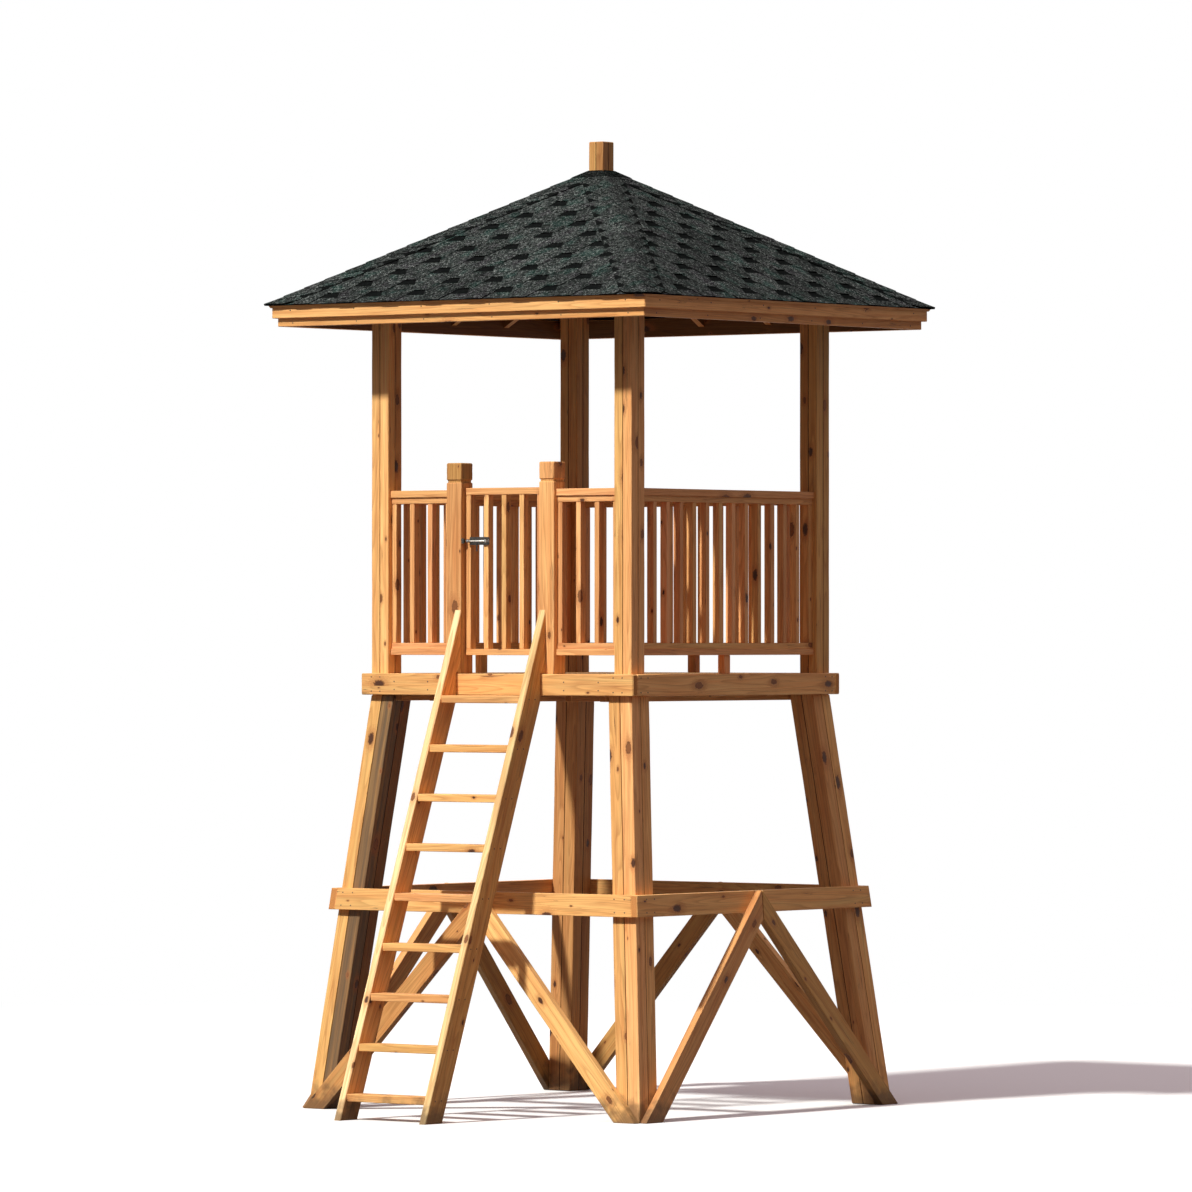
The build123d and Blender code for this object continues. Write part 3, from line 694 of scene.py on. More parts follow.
railLooks = dict(
    topRail=0.039, topBatten=0.034, bottomRail=0.034, bottomBatten=0.033,
    railDepth=0.070, battenDepth=0.052, balusterWidth=0.032, balusterDepth=0.045,
    endGap=0.0005, blockWidth=0.055, frontBalusters=4, sideBalusters=14, arris=0.0022,
    railTones=(0.13, -0.10), balusterTones=(0.12, 0.12),  # at the front, and on the other sides; the rails' lighter front and darker sides are painted light and shade
)
panelLow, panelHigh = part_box("front_right_panel")
railMiddle = towerY - (panelLow.y + panelHigh.y) / 2
railTop, railBottom = panelHigh.z, panelLow.z


def rail(chance, side, low, high, start, end, depth):
    # one level bar along a side between two heights
    return bar(chance, side, start, end, railMiddle, (low + high) / 2, high - low, railLooks[depth],
               radius=railLooks["arris"], tone=railLooks["railTones"][min(side, 1)])


def balusters(chance, side, low, high, start, end, count):
    # uprights at even spaces, the first and the last reaching the ends of the run
    width = railLooks["balusterWidth"]
    return [upright(chance, side, along, railMiddle, low, high, width, railLooks["balusterDepth"],
                    radius=railLooks["arris"], tone=railLooks["balusterTones"][min(side, 1)])
            for along in np.linspace(start + width / 2, end - width / 2, count)]


def makePanel(panel, side, start, end, count):
    # from the top: rail, batten, balusters, batten, rail
    chance = np.random.default_rng(200 + sum(map(ord, panel)))
    looks = railLooks
    upper, lower = railTop - looks["topRail"], railBottom + looks["bottomRail"]
    head, foot = upper - looks["topBatten"], lower + looks["bottomBatten"]
    parts = [rail(chance, side, low, high, start, end, depth) for low, high, depth in
             ((upper, railTop, "railDepth"), (head, upper, "battenDepth"), (lower, foot, "battenDepth"),
              (railBottom, lower, "railDepth"))]
    parts += balusters(chance, side, foot, head, start + looks["endGap"], end - looks["endGap"], count)
    if side:
        # a block under the middle of a long panel
        parts.append(upright(chance, side, 0.0, railMiddle, deckTop, railBottom, looks["blockWidth"],
                             looks["balusterDepth"], radius=looks["arris"]))
    makePiece(panel.replace("_", "."), parts, rosyPine)


makePanel("front_left_panel", 0, -postInner, -gatePostOuter, railLooks["frontBalusters"])
makePanel("front_right_panel", 0, gatePostOuter, postInner, railLooks["frontBalusters"])
for number in (1, 2, 3):
    makePanel(sideNames[number] + "_panel", number, -postInner, postInner, railLooks["sideBalusters"])
print("guard panels made")

# gate posts, each with a square groove round it near its top; shaft, neck and head have their own tones, the
# neck's darker tone in the groove being painted shade
gateLooks = dict(grooveDrop=0.103, grooveHeight=0.012, grooveDepth=0.006, topRail=0.038, balusterCount=5,
                 leftTones=(0.10, -0.14, -0.16), rightTones=(0.15, -0.12, 0.04), leftGrey=0.02,
                 arrises=(0.004, 0.002, 0.005))


def makeGatePosts():
    looks, width = gateLooks, gatePostOuter - gatePostInner
    neck, half = gatePostTop - looks["grooveDrop"], looks["grooveHeight"] / 2
    stretches = ((rimBottom, neck - half), (neck - 2 * half, neck + 2 * half), (neck + half, gatePostTop))
    parts = []
    for sign, tones, grey in ((-1, looks["leftTones"], looks["leftGrey"]), (1, looks["rightTones"], 0.0)):
        middle = sign * (gatePostInner + width / 2), postSpan - width / 2
        for tone, (low, high), radius in zip(tones, stretches, looks["arrises"]):
            # the same seed for shaft, neck and head carries the grain through all three
            wide = width - 2 * looks["grooveDepth"] * (low == stretches[1][0])
            cuts = (spot(0, *middle, low), -up), (spot(0, *middle, high), up)
            parts.append(upright(np.random.default_rng(230 + sign), 0, *middle, rimBottom, gatePostTop, wide,
                                 wide, cuts=cuts, radius=radius, tone=tone, weather=grey))
    makePiece("gate.posts", parts)


def makeGate():
    # the balusters stand between two battens
    low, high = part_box("gate")
    chance = np.random.default_rng(240)
    top, bottom = high.z - gateLooks["topRail"], low.z + railLooks["bottomRail"]
    parts = [rail(chance, 0, *levels, low.x, high.x, "battenDepth")
             for levels in ((top, high.z), (low.z, bottom))]
    parts += balusters(chance, 0, bottom, top, low.x, high.x, gateLooks["balusterCount"])
    makePiece("gate.leaf", parts, rosyPine, body="gate_leaf", nodes=["gate"])


makeGatePosts()
makeGate()
print("gate made")

# ladder: raked stringers that step over the rim, and level treads
ladderLooks = dict(stringerWidth=0.140, treadCount=9, treadThickness=0.042, treadDepth=0.120, easing=0.004,
                   tone=0.10)


def plate(chance, outline, origin, rightAxis, upAxis, thickness, grain, easing, tone=0.0, sawnKind=1):
    # A flat outline, counter-clockwise, given thickness: its edge is eased on both sides by an outline
    # drawn inwards. Each corner moves in along the line that halves it, by the easing over the cosine
    # of its half angle.
    outline, grain = np.asarray(outline, float), np.asarray(grain, float)
    steps = np.roll(outline, -1, 0) - outline
    after = steps / np.linalg.norm(steps, axis=1)[:, None]
    inward = (after + np.roll(after, 1, 0))[:, ::-1] * [-1, 1]
    inner = outline + inward / (0.5 * (inward ** 2).sum(1))[:, None] * easing
    rings = [(inner, 0.0), (outline, easing), (outline, thickness - easing), (inner, thickness)]
    points = np.concatenate([origin + ring @ [rightAxis, upAxis] + across * np.cross(rightAxis, upAxis)
                             for ring, across in rings])
    count = len(outline)
    quads = ringFaces(4, count)[2]
    filling = np.array(tessellate_polygon([[(*point, 0.0) for point in inner]]))
    area = np.cross(inner[filling[:, 1]] - inner[filling[:, 0]], inner[filling[:, 2]] - inner[filling[:, 0]])
    filling = np.where((area < 0)[:, None], filling[:, ::-1], filling)
    triangles = np.concatenate([filling[:, ::-1], filling + 3 * count])
    # the map runs along the grain and across it; the edges add their own place in the thickness
    flat = np.stack([outline @ grain, outline @ (grain[::-1] * [-1, 1])], 1)
    places = np.concatenate([flat + [0.0, across] for _, across in rings])
    places += chance.uniform(0, boardLooks["mapSpread"], 2)
    tone = tone + chance.uniform(-1, 1) * boardLooks["toneSpread"]
    # a face whose outline runs across the grain is a sawn end
    sawn = np.tile(np.abs(after @ grain) < 0.8, 3) * sawnKind
    part = plainPart(points, quads, places, tone, sawn, triangles=triangles)
    return dict(part, triangleTone=np.tile([tone, 0.0], (len(triangles), 1)))


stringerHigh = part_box("ladder_stringers")[1]
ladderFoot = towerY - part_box("ladder_stringers")[0].y
ladderSlope = (ladderFoot - postSpan) / stringerHigh.z


def treads():
    # the middle height of each tread, and how far out its front edge is
    low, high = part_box("ladder_treads")
    thickness = ladderLooks["treadThickness"]
    return [(bottom + thickness / 2, ladderFoot - ladderSlope * (bottom + thickness))
            for bottom in np.linspace(low.z, high.z - thickness, ladderLooks["treadCount"])]


def makeLadder():
    # The stringers' outline goes up the raked front, down the post, over the rim and down the raked back.
    # Level treads fit between the two, each a step higher and further in.
    looks = ladderLooks
    backFoot = ladderFoot - looks["stringerWidth"] * sqrt(1 + ladderSlope ** 2)
    outline = [(ladderFoot, 0), (postSpan, stringerHigh.z), (postSpan, deckTop), (rimSpan, deckTop),
               (rimSpan, (backFoot - rimSpan) / ladderSlope), (backFoot, 0)]
    chance = np.random.default_rng(260)
    stringers = [plate(chance, outline, np.array([x, towerY, 0.0]), turned(0)[1], up,
                       stringerHigh.x - gatePostInner, unit(np.array([-ladderSlope, 1.0])), looks["easing"],
                       looks["tone"]) for x in (-gatePostInner, stringerHigh.x)]
    # the outline's first edge, the raked front, takes the paler finish as a painted highlight
    for stringer in stringers:
        stringer["quadKind"][::len(outline)] = 2
    makePiece("ladder.stringers", stringers, pine + [highlightPine])
    makePiece("ladder.treads", [
        bar(chance, 0, -gatePostInner, gatePostInner, front - looks["treadDepth"] / 2, middle,
            looks["treadDepth"], looks["treadThickness"], up, tone=looks["tone"], radius=looks["easing"])
        for middle, front in treads()])


makeLadder()
print("ladder made")

roofLooks = dict(
    covering=0.012, sheathing=0.018, hipGap=0.0015,  # measured upright
    rafterDepth=0.090, rafterWidth=0.045, rafterPlaces=(0.240, 0.720),
    fasciaThickness=0.035, fasciaHeight=0.107, stripHeight=0.061, stripThickness=0.023,
    planks=12, plankGap=0.003, plankArris=0.0015, timberArris=0.004, kingGroove=0.005,
    kingTone=-0.26, kingGrey=0.12,
    hiddenTone=-0.90,  # dark stain on the faces turned inwards
    rafterTone=-0.72, rafterBack=0.74,  # the rafters' sides are darker, their undersides paler
    fasciaTones=(0.04, -0.08),  # front and back, and the sides; the sides' lower tone is painted shade
    edgeTone=-0.30,  # painted shadow of the shingles' overhang on the outermost roof board, seen over the fascia
)
kingLow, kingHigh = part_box("king_post")
kingHalf = kingHigh.x
shingleLow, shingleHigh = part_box("shingles")
roofRun, roofEave = roofSpan - kingHalf - roofLooks["hipGap"], shingleLow.z + roofLooks["covering"]
roofRise = (shingleHigh.z - roofEave) / roofRun
roofPeak = roofEave + roofRise * roofSpan
roofSlope = atan(roofRise)
stripSpan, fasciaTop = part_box("fascia_front_back")[1].x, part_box("fascia_front_back")[1].z
fasciaSpan = stripSpan - roofLooks["stripThickness"]
fasciaInner = fasciaSpan - roofLooks["fasciaThickness"]


def roofHeight(out, drop=0.0):
    # the height of the roof's upper face so far out, or of a point so far straight below it
    return roofPeak - roofRise * out - drop


def roofFacing(side):
    # square to a roof face: upwards by the slope's cosine and outwards by its sine
    return up * cos(roofSlope) + turned(side)[1] * sin(roofSlope)


def wallPlates(chance, side):
    # the front and back plates run the whole width, the side plates fit between them
    low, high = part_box("wall_plates_front_back")
    half = (postSpan, postInner)[side % 2]
    return [bar(chance, side, -half, half, postSpan - postWidth / 2, (low.z + high.z) / 2, high.z - low.z,
                postWidth, radius=roofLooks["timberArris"])]


def fascias(chance, side):
    # mitred boards with a thicker strip along their upper part
    return [bar(chance, side, -(near + far) / 2, (near + far) / 2, (near + far) / 2, fasciaTop - height / 2,
                height, far - near, slant=-turned(side)[1], tone=roofLooks["fasciaTones"][side % 2],
                backTone=roofLooks["hiddenTone"])
            for near, far, height in ((fasciaInner, fasciaSpan, roofLooks["fasciaHeight"]),
                                      (fasciaSpan, stripSpan, roofLooks["stripHeight"]))]


def makeRafters():
    depth, width = roofLooks["rafterDepth"], roofLooks["rafterWidth"]
    covering = roofLooks["covering"] + roofLooks["sheathing"]
    chance = np.random.default_rng(300)

    def rafter(side, along, reach, drop, fall, facing, thickness):
        # a board that falls away from the middle of the roof, cut plumb at both ends
        low, high = [spot(side, along, out, roofPeak - fall * out - drop) for out in reach]
        outward = turned(side)[1]
        return board(chance, low, high, facing, width, thickness, ((low, -outward), (high, outward)),
                     tone=roofLooks["rafterTone"], backTone=roofLooks["rafterBack"])

    makePiece("rafters.jack", [
        rafter(side, sign * place, (place + width / 2 + width / sqrt(2), fasciaInner), covering + depth / 2,
               roofRise, roofFacing(side), depth * cos(roofSlope))
        for side, place, sign in product(range(4), roofLooks["rafterPlaces"], (-1, 1))],
        nodes=["jack_rafters"])
    # a hip falls less steeply, and its upper edges lie under both faces of the roof
    fall = roofRise / sqrt(2)
    lost = fall * width / 2
    reach = kingHalf * sqrt(2) + roofLooks["hipGap"], fasciaInner * sqrt(2) - width / 2
    makePiece("rafters.hip", [
        rafter(side, 0.0, reach, covering + depth / 2 + lost, fall, unit(up + turned(side)[1] * fall),
               (depth - lost) * cos(atan(fall))) for side in (0.5, 1.5, 2.5, 3.5)],
        nodes=["hip_rafters"])


def makeSheathing():
    # level boards under the shingles, mitred along the hips
    looks = roofLooks
    chance = np.random.default_rng(310)
    bounds = np.linspace(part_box("roof_boards")[1].x, kingHalf + looks["hipGap"], looks["planks"] + 1)
    parts = []
    for side, (low, high) in product(range(4), zip(bounds[:-1], bounds[1:])):
        out, outermost = (low + high) / 2, int(low == bounds[0])
        parts.append(bar(
            chance, side, -out, out, out, roofHeight(out, looks["covering"] + looks["sheathing"] / 2),
            (low - high) / cos(roofSlope) - looks["plankGap"], looks["sheathing"] * cos(roofSlope),
            roofFacing(side), -turned(side)[1], radius=looks["plankArris"], finish=outermost,
            # the outermost board is darker as a painted shadow of the shingles' overhang
            tone=looks["edgeTone"] * outermost,
            backTone=(looks["hiddenTone"] - looks["edgeTone"]) * outermost))
    makePiece("roof.boards", parts, darkPine + pine)


# the wall plates take the dark brown finish, painted shade under the roof
bySides("wall.plates", 280, wallPlates, shadeBrownPine)
bySides("fascia", 290, fascias)
makeRafters()
makeSheathing()
makePiece("king.post", [upright(
    np.random.default_rng(320), 0, 0.0, 0.0, kingLow.z, kingHigh.z, 2 * kingHalf, 2 * kingHalf,
    radius=roofLooks["timberArris"], groove=roofLooks["kingGroove"], tone=roofLooks["kingTone"],
    weather=roofLooks["kingGrey"])])
print("roof timbers made")

# shingles: tapering tabs in level courses; between them shows the dark band of the course below
shingleLooks = dict(
    exposure=0.128, pitch=0.308,  # course to course, and tab to tab
    gapLow=0.0985, gapSlope=0.457,  # a gap's half width at the tabs' lower edge; how it narrows upwards
    gapHeight=0.155, sheetHeight=0.288,
    lift=0.0028, fall=0.027, thickness=0.0035, seat=0.0058,
    rows=(0.0, 0.015, 0.3, 0.6, 1.0),  # shares of the way up a sheet
    tabsEachWay=6, courseShift=0.006, waver=0.003, curl=0.0012, edgeDrop=0.0012,
    bandLow=0.201, bandHigh=0.270, bandEdge=0.004,  # the dark band on each sheet
    capExposure=0.125, capHalf=0.132, capTail=0.0555, capLength=0.285, capLift=0.0085,
    capShares=(0.045, 0.12, 0.4, 0.75, 1.0), capRows=(0.0, 0.004, 0.05, 0.10, 0.17, 0.23),
    capFall=0.8, capNarrow=0.04, capDrop=0.0015, capSeat=-0.004, capOver=0.004, capRise=0.001,
    courseSetback=0.006, starterSetback=0.010, feltSetback=0.016,  # from the roof's outer edge
    starterHeight=0.20, starterLift=-0.0030, feltLift=-0.0062, sheetDepth=0.0035,
    sheetHalf=2.0,  # wider than the roof; the hips trim it
    collarReach=0.066, collarLift=0.0095, collarSeat=-0.002, collarTone=-0.70, collarGap=0.0006,
    # where pieces lie on the map: on by so much for each course and side, and for each hip and cap
    courseMap=(3.7, 11.3), capMap=(7.7, 2.3), capStart=50, collarStart=90,
    tabTone=0.22, wallTone=-0.85,
    granule=(0.0225, 0.0270, 0.0258), pale=(0.165, 0.180, 0.170), teal=(0.016, 0.038, 0.032),
    plum=(0.028, 0.026, 0.030), band=(0.0050, 0.0060, 0.0058), felt=(0.0035, 0.0035, 0.0042),
    feltDust=(0.0077, 0.0077, 0.00924),
)
slopeRun = roofRun / cos(roofSlope)


def roofPlace(side, along, climb, lift):
    # along the eave, up the slope from the eave's edge, and out from the roof's face
    sideways, outward = turned(side)
    upslope = up * sin(roofSlope) - outward * cos(roofSlope)
    along, climb, lift = [np.asarray(value)[..., None] for value in (along, climb, lift)]
    return (spot(side, 0.0, roofSpan, roofHeight(roofSpan)) + along * sideways + climb * upslope
            + lift * roofFacing(side))


def roofSheet(side, along, climb, lift, bottom, places, tone=0.0, kind=0):
    # a slab on one face of the roof, kept between the hips
    climb = np.clip(climb, shingleLooks["courseSetback"], slopeRun)
    reach = roofSpan - climb * cos(roofSlope) - roofLooks["hipGap"]
    along = np.clip(along, -reach, reach)
    top, bottom = [roofPlace(side, along, climb, level) for level in (lift, bottom)]
    return slab(top, bottom, places, tone, kind, shingleLooks["wallTone"])


def course(chance, side, number):
    # Columns stand at the corners of the gaps, rows climb from the gap's outline to the sheet's top edge.
    looks = shingleLooks
    narrow = looks["gapLow"] - looks["gapSlope"] * looks["gapHeight"]
    corners = np.array([-looks["gapLow"], -narrow, narrow, looks["gapLow"]])
    rises = np.array([0.0, looks["gapHeight"], looks["gapHeight"], 0.0])
    shift = (number % 2) * looks["pitch"] / 2 + chance.uniform(-1, 1) * looks["courseShift"]
    gaps = np.arange(-looks["tabsEachWay"], looks["tabsEachWay"] + 1) * looks["pitch"] + shift
    waver = chance.uniform(-1, 1, (len(gaps), 4)) * looks["waver"]
    along = (gaps[:, None] + corners + waver).ravel()[:, None]
    rise = (rises + chance.uniform(-1, 1, (len(gaps), 4)) * looks["waver"] * (rises > 0)).reshape(-1, 1)
    rise = rise + chance.uniform(0, looks["edgeDrop"], rise.shape)
    share = np.array(looks["rows"])
    local = rise + (looks["sheetHeight"] - rise) * share
    across = along + 0 * local
    curl = chance.uniform(0, looks["curl"], along.shape) * (1 - share)
    lift = looks["lift"] - looks["fall"] * local + curl - looks["edgeDrop"] * (share == 0)
    bottom = lift - np.where(share == 0, looks["seat"], looks["thickness"])
    tones = np.repeat(chance.uniform(-1, 1, len(gaps) + 1) * looks["tabTone"], 4)[2:-2, None]
    eachCourse, eachSide = looks["courseMap"]
    places = np.stack([across + number * eachCourse + side * eachSide, local], -1)
    return roofSheet(side, across, number * looks["exposure"] + local, lift, bottom, places, tones)


def hipCap(chance, corner, number):
    # One tab folded over the hip: q runs across it, t up the hip, and each half lies on its own roof face.
    looks = shingleLooks
    share = np.array(looks["capShares"])
    share = np.concatenate([-share[::-1], share])[:, None]
    t = np.array([*looks["capRows"], looks["capLength"]])
    half = np.minimum(looks["capTail"] + looks["gapSlope"] * t, looks["capHalf"])
    q, t = share * half * (1 - looks["capNarrow"] * (t == 0)), t + 0 * share
    rise = looks["capLift"] - looks["fall"] * looks["capFall"] * t - looks["capDrop"] * (t == 0)
    rise = rise + chance.uniform(0, looks["capRise"])
    under = np.where((np.abs(share) == 1) | (t == 0), looks["capSeat"], rise - looks["thickness"])
    stretch = sqrt(1 + cos(roofSlope) ** 2)
    upHip = (number * looks["capExposure"] + t) / stretch
    climb = np.clip(upHip - np.abs(q) * cos(roofSlope) / stretch, looks["courseSetback"], slopeRun)
    along = roofSpan - upHip * cos(roofSlope) - np.abs(q) / stretch
    limit = roofSpan - climb * cos(roofSlope) + np.minimum(rise * sin(roofSlope), looks["capOver"])
    along = np.clip(along, -np.maximum(limit, 0), np.maximum(limit, 0))
    top, bottom = [np.where((share < 0)[..., None], roofPlace(corner, along, climb, lift),
                            roofPlace((corner + 1) % 4, -along, climb, lift)) for lift in (rise, under)]
    eachHip, eachCap = looks["capMap"]
    places = np.stack([q + looks["capStart"] + corner * eachHip + number * eachCap, t], -1)
    return slab(top, bottom, places, chance.uniform(-1, 1) * looks["tabTone"], wallTone=looks["wallTone"])


def shingleMaterial():
    # mineral granules: three sizes of speckle, patches of teal and plum, and a band of nearly black ones
    looks = shingleLooks
    material = newMaterial("greenBlackShingle")
    place, climb = ownPlace(), split(node("UVMap", uv_map="board"))[1]
    grain, pebble = cellColours(place, 260.0), cellColours(place, 105.0)[0]
    patch, cloud = grainNoise(place, 55.0, 2.0, 0.6), grainNoise(place, 9.0)
    clump = remap(pebble * 0.5 + patch * 0.8, 0.52, 0.92)
    speck = calc("MULTIPLY", remap(grain[0], 0.55, 1.0), 0.12 + clump, clamp=True)
    colour = blend(remap(cloud, 0.54, 0.66, 0, 0.75), looks["granule"], looks["teal"])
    colour = blend(remap(cloud, 0.42, 0.34, 0, 0.7), colour, looks["plum"])
    colour = blend(speck, colour, looks["pale"])
    shade = (1.0 + faceValue("tone")) * remap(patch, 0.35, 0.65, 0.62, 1.30) * remap(pebble, 0, 1, 0.55, 1.45)
    level, edge = climb + (patch - 0.5) * 0.02, looks["bandEdge"]
    band = (remap(level, looks["bandLow"], looks["bandLow"] + edge)
            * remap(level, looks["bandHigh"], looks["bandHigh"] + edge, 1, 0))
    colour = blend(band * 0.96, shaded(colour, shade), looks["band"])
    return coat(material, colour, remap(grain[1], 0, 1, 0.8, 1.0), 0.0, relief=grain[2] + patch * 1.5,
                strength=0.9, depth=0.0016)


def feltMaterial():
    # the sheet under the shingles, seen at the eave: black with a fine dusting
    material = newMaterial("roofFelt")
    dust = grainNoise(ownPlace(), 120.0, 3.0, 0.6)
    colour = blend(remap(dust, 0.45, 0.7), shingleLooks["felt"], shingleLooks["feltDust"])
    return coat(material, colour, 0.95, 0.0, relief=dust)


def makeShingles():
    looks = shingleLooks
    chance = np.random.default_rng(400)
    square = np.ones((2, 2))
    courses = int(slopeRun / looks["exposure"]) + 1
    sheets = [course(chance, side, number) for side, number in product(range(4), range(courses))]
    # felt over the boards, and a starter strip below the first course: its band shows in that course's gaps
    layers = ((looks["feltSetback"], slopeRun, looks["feltLift"], 1),
              (looks["starterSetback"], looks["starterHeight"], looks["starterLift"], 0))
    for side, (setback, height, lift, kind) in product(range(4), layers):
        climb = [setback, height] * square
        along = [[-looks["sheetHalf"]], [looks["sheetHalf"]]] * square
        sheets.append(roofSheet(side, along, climb, lift * square, (lift - looks["sheetDepth"]) * square,
                                np.stack([along, climb + looks["exposure"]], -1), kind=kind))
    shingle = shingleMaterial()
    makePiece("shingle.courses", sheets, [shingle, feltMaterial()], nodes=["shingles"])
    caps = int(slopeRun * sqrt(1 + cos(roofSlope) ** 2) / looks["capExposure"]) + 1
    folded = [hipCap(chance, corner, number) for corner, number in product(range(4), range(caps))]
    # a collar round the king post covers the caps' upper ends
    near = kingHalf + looks["collarGap"]
    far = [near + looks["collarReach"], near] * square
    for side in range(4):
        climb, along = (roofSpan - far) / cos(roofSlope), [[-1.0], [1.0]] * far
        top, bottom = [roofPlace(side, along, climb, lift * square)
                       for lift in (looks["collarLift"], looks["collarSeat"])]
        places = np.stack([along + looks["collarStart"] + side, climb - slopeRun], -1)
        folded.append(slab(top, bottom, places, looks["collarTone"], wallTone=looks["wallTone"]))
    makePiece("shingle.hip.caps", folded, [shingle], nodes=[])


makeShingles()
print("shingles laid")

# steel: hinges, and the slide bolt with its strap loops and hanging handle
steelLooks = dict(
    zinc=(0.38, 0.38, 0.36), dull=(0.16, 0.16, 0.15), bright=(0.66, 0.64, 0.59), worn=(0.34, 0.32, 0.28),
    smoky=(0.085, 0.080, 0.072), sooty=(0.050, 0.046, 0.040), rust=(0.22, 0.085, 0.030),
    dark=(0.045, 0.042, 0.040), black=(0.0270, 0.0252, 0.0240),
    boltRadius=0.005, boreGap=0.0005, catchGap=0.001, easing=0.0006, catchEasing=0.001,
    # the rounded nose, then the tail: how far from the end, and shares of the radius
    noseSteps=(0.0, 0.0004, 0.0012, 0.0026, 0.0045), noseShares=(0.25, 0.55, 0.80, 0.95, 1.0),
    tailStep=0.0006, tailShare=0.88,
    plateThickness=0.003, plateCorner=0.007, loopLength=0.016, loopWall=0.004, screwPlaces=(0.042, 0.0165),
    handleWidth=0.009, handleThickness=0.005, handleCorner=0.0044, handleEasing=0.0012,
    screwRadius=0.0038, screwRise=0.0013,
    # the hinges' screws: from the leaf's ends, from the plates' edges, apart, and each head
    hingeInset=0.035, leafInset=0.010, leafStep=0.024, leafScrew=(0.0034, 0.0012),
    postInset=(0.003, 0.008), postStep=0.026, postScrew=(0.0034, 0.0010),
)


def steelMaterial(name, pale, dull, metal):
    # zinc: a faint crystal pattern, dull patches, and rust creeping from scratches
    material, place = newMaterial(name), ownPlace()
    crystal = cellColours(place, 190.0)[0]
    patch, scratch = grainNoise(place, 70.0, 3.0, 0.6), grainNoise(place, 420.0, 2.0, 0.7)
    colour = shaded(blend(remap(patch, 0.40, 0.62), pale, dull), remap(crystal, 0, 1, 0.86, 1.1))
    rusty = remap(patch, 0.58, 0.68) * remap(scratch, 0.45, 0.60)
    rough = calc("ADD", remap(patch, 0.3, 0.7, 0.34, 0.55), rusty * 0.3, clamp=True)
    return coat(material, blend(rusty * 0.8, colour, steelLooks["rust"]), rough, metal=metal * (1.0 - rusty),
                relief=scratch + crystal, strength=0.25, depth=0.0004)


def roundedOutline(width, height, corner, steps=5):
    # a rectangle with round corners, counter-clockwise round its middle
    outline = []
    for quarter, (signX, signY) in enumerate(((1, 1), (-1, 1), (-1, -1), (1, -1))):
        turn = np.linspace(0, pi / 2, steps) + quarter * pi / 2
        outline.append(np.stack([signX * (width / 2 - corner) + corner * np.cos(turn),
                                 signY * (height / 2 - corner) + corner * np.sin(turn)], 1))
    return np.concatenate(outline)


def hoop(start, direction, length, rightAxis, reach, hole, easing=0.0008, kind=0, sides=40):
    # A block with a round hole through it. Round the hole's axis, reach gives the outer face's distance at
    # each angle; a closed profile of inner and outer corners is carried round.
    angles = np.linspace(0, 2 * pi, sides, endpoint=False)
    cosines, sines = np.cos(angles)[:, None], np.sin(angles)[:, None]
    rays = cosines * rightAxis + sines * np.cross(direction, rightAxis)
    outer, inner = reach(cosines, sines), hole
    profile = [(inner + easing, 0.0), (inner, easing), (inner, length - easing), (inner + easing, length),
               (outer - easing, length), (outer, length - easing), (outer, easing), (outer - easing, 0.0)]
    points = np.stack([start + rays * radius + direction * distance for radius, distance in profile], 1)
    index = np.arange(sides * 8).reshape(sides, 8)
    right, after = np.roll(index, -1, 1), np.roll(index, -1, 0)
    quads = np.stack([index, right, np.roll(right, -1, 0), after], -1).reshape(-1, 4)
    points = points.reshape(-1, 3)
    return plainPart(points, quads, points[:, [0, 2]], kind=kind)


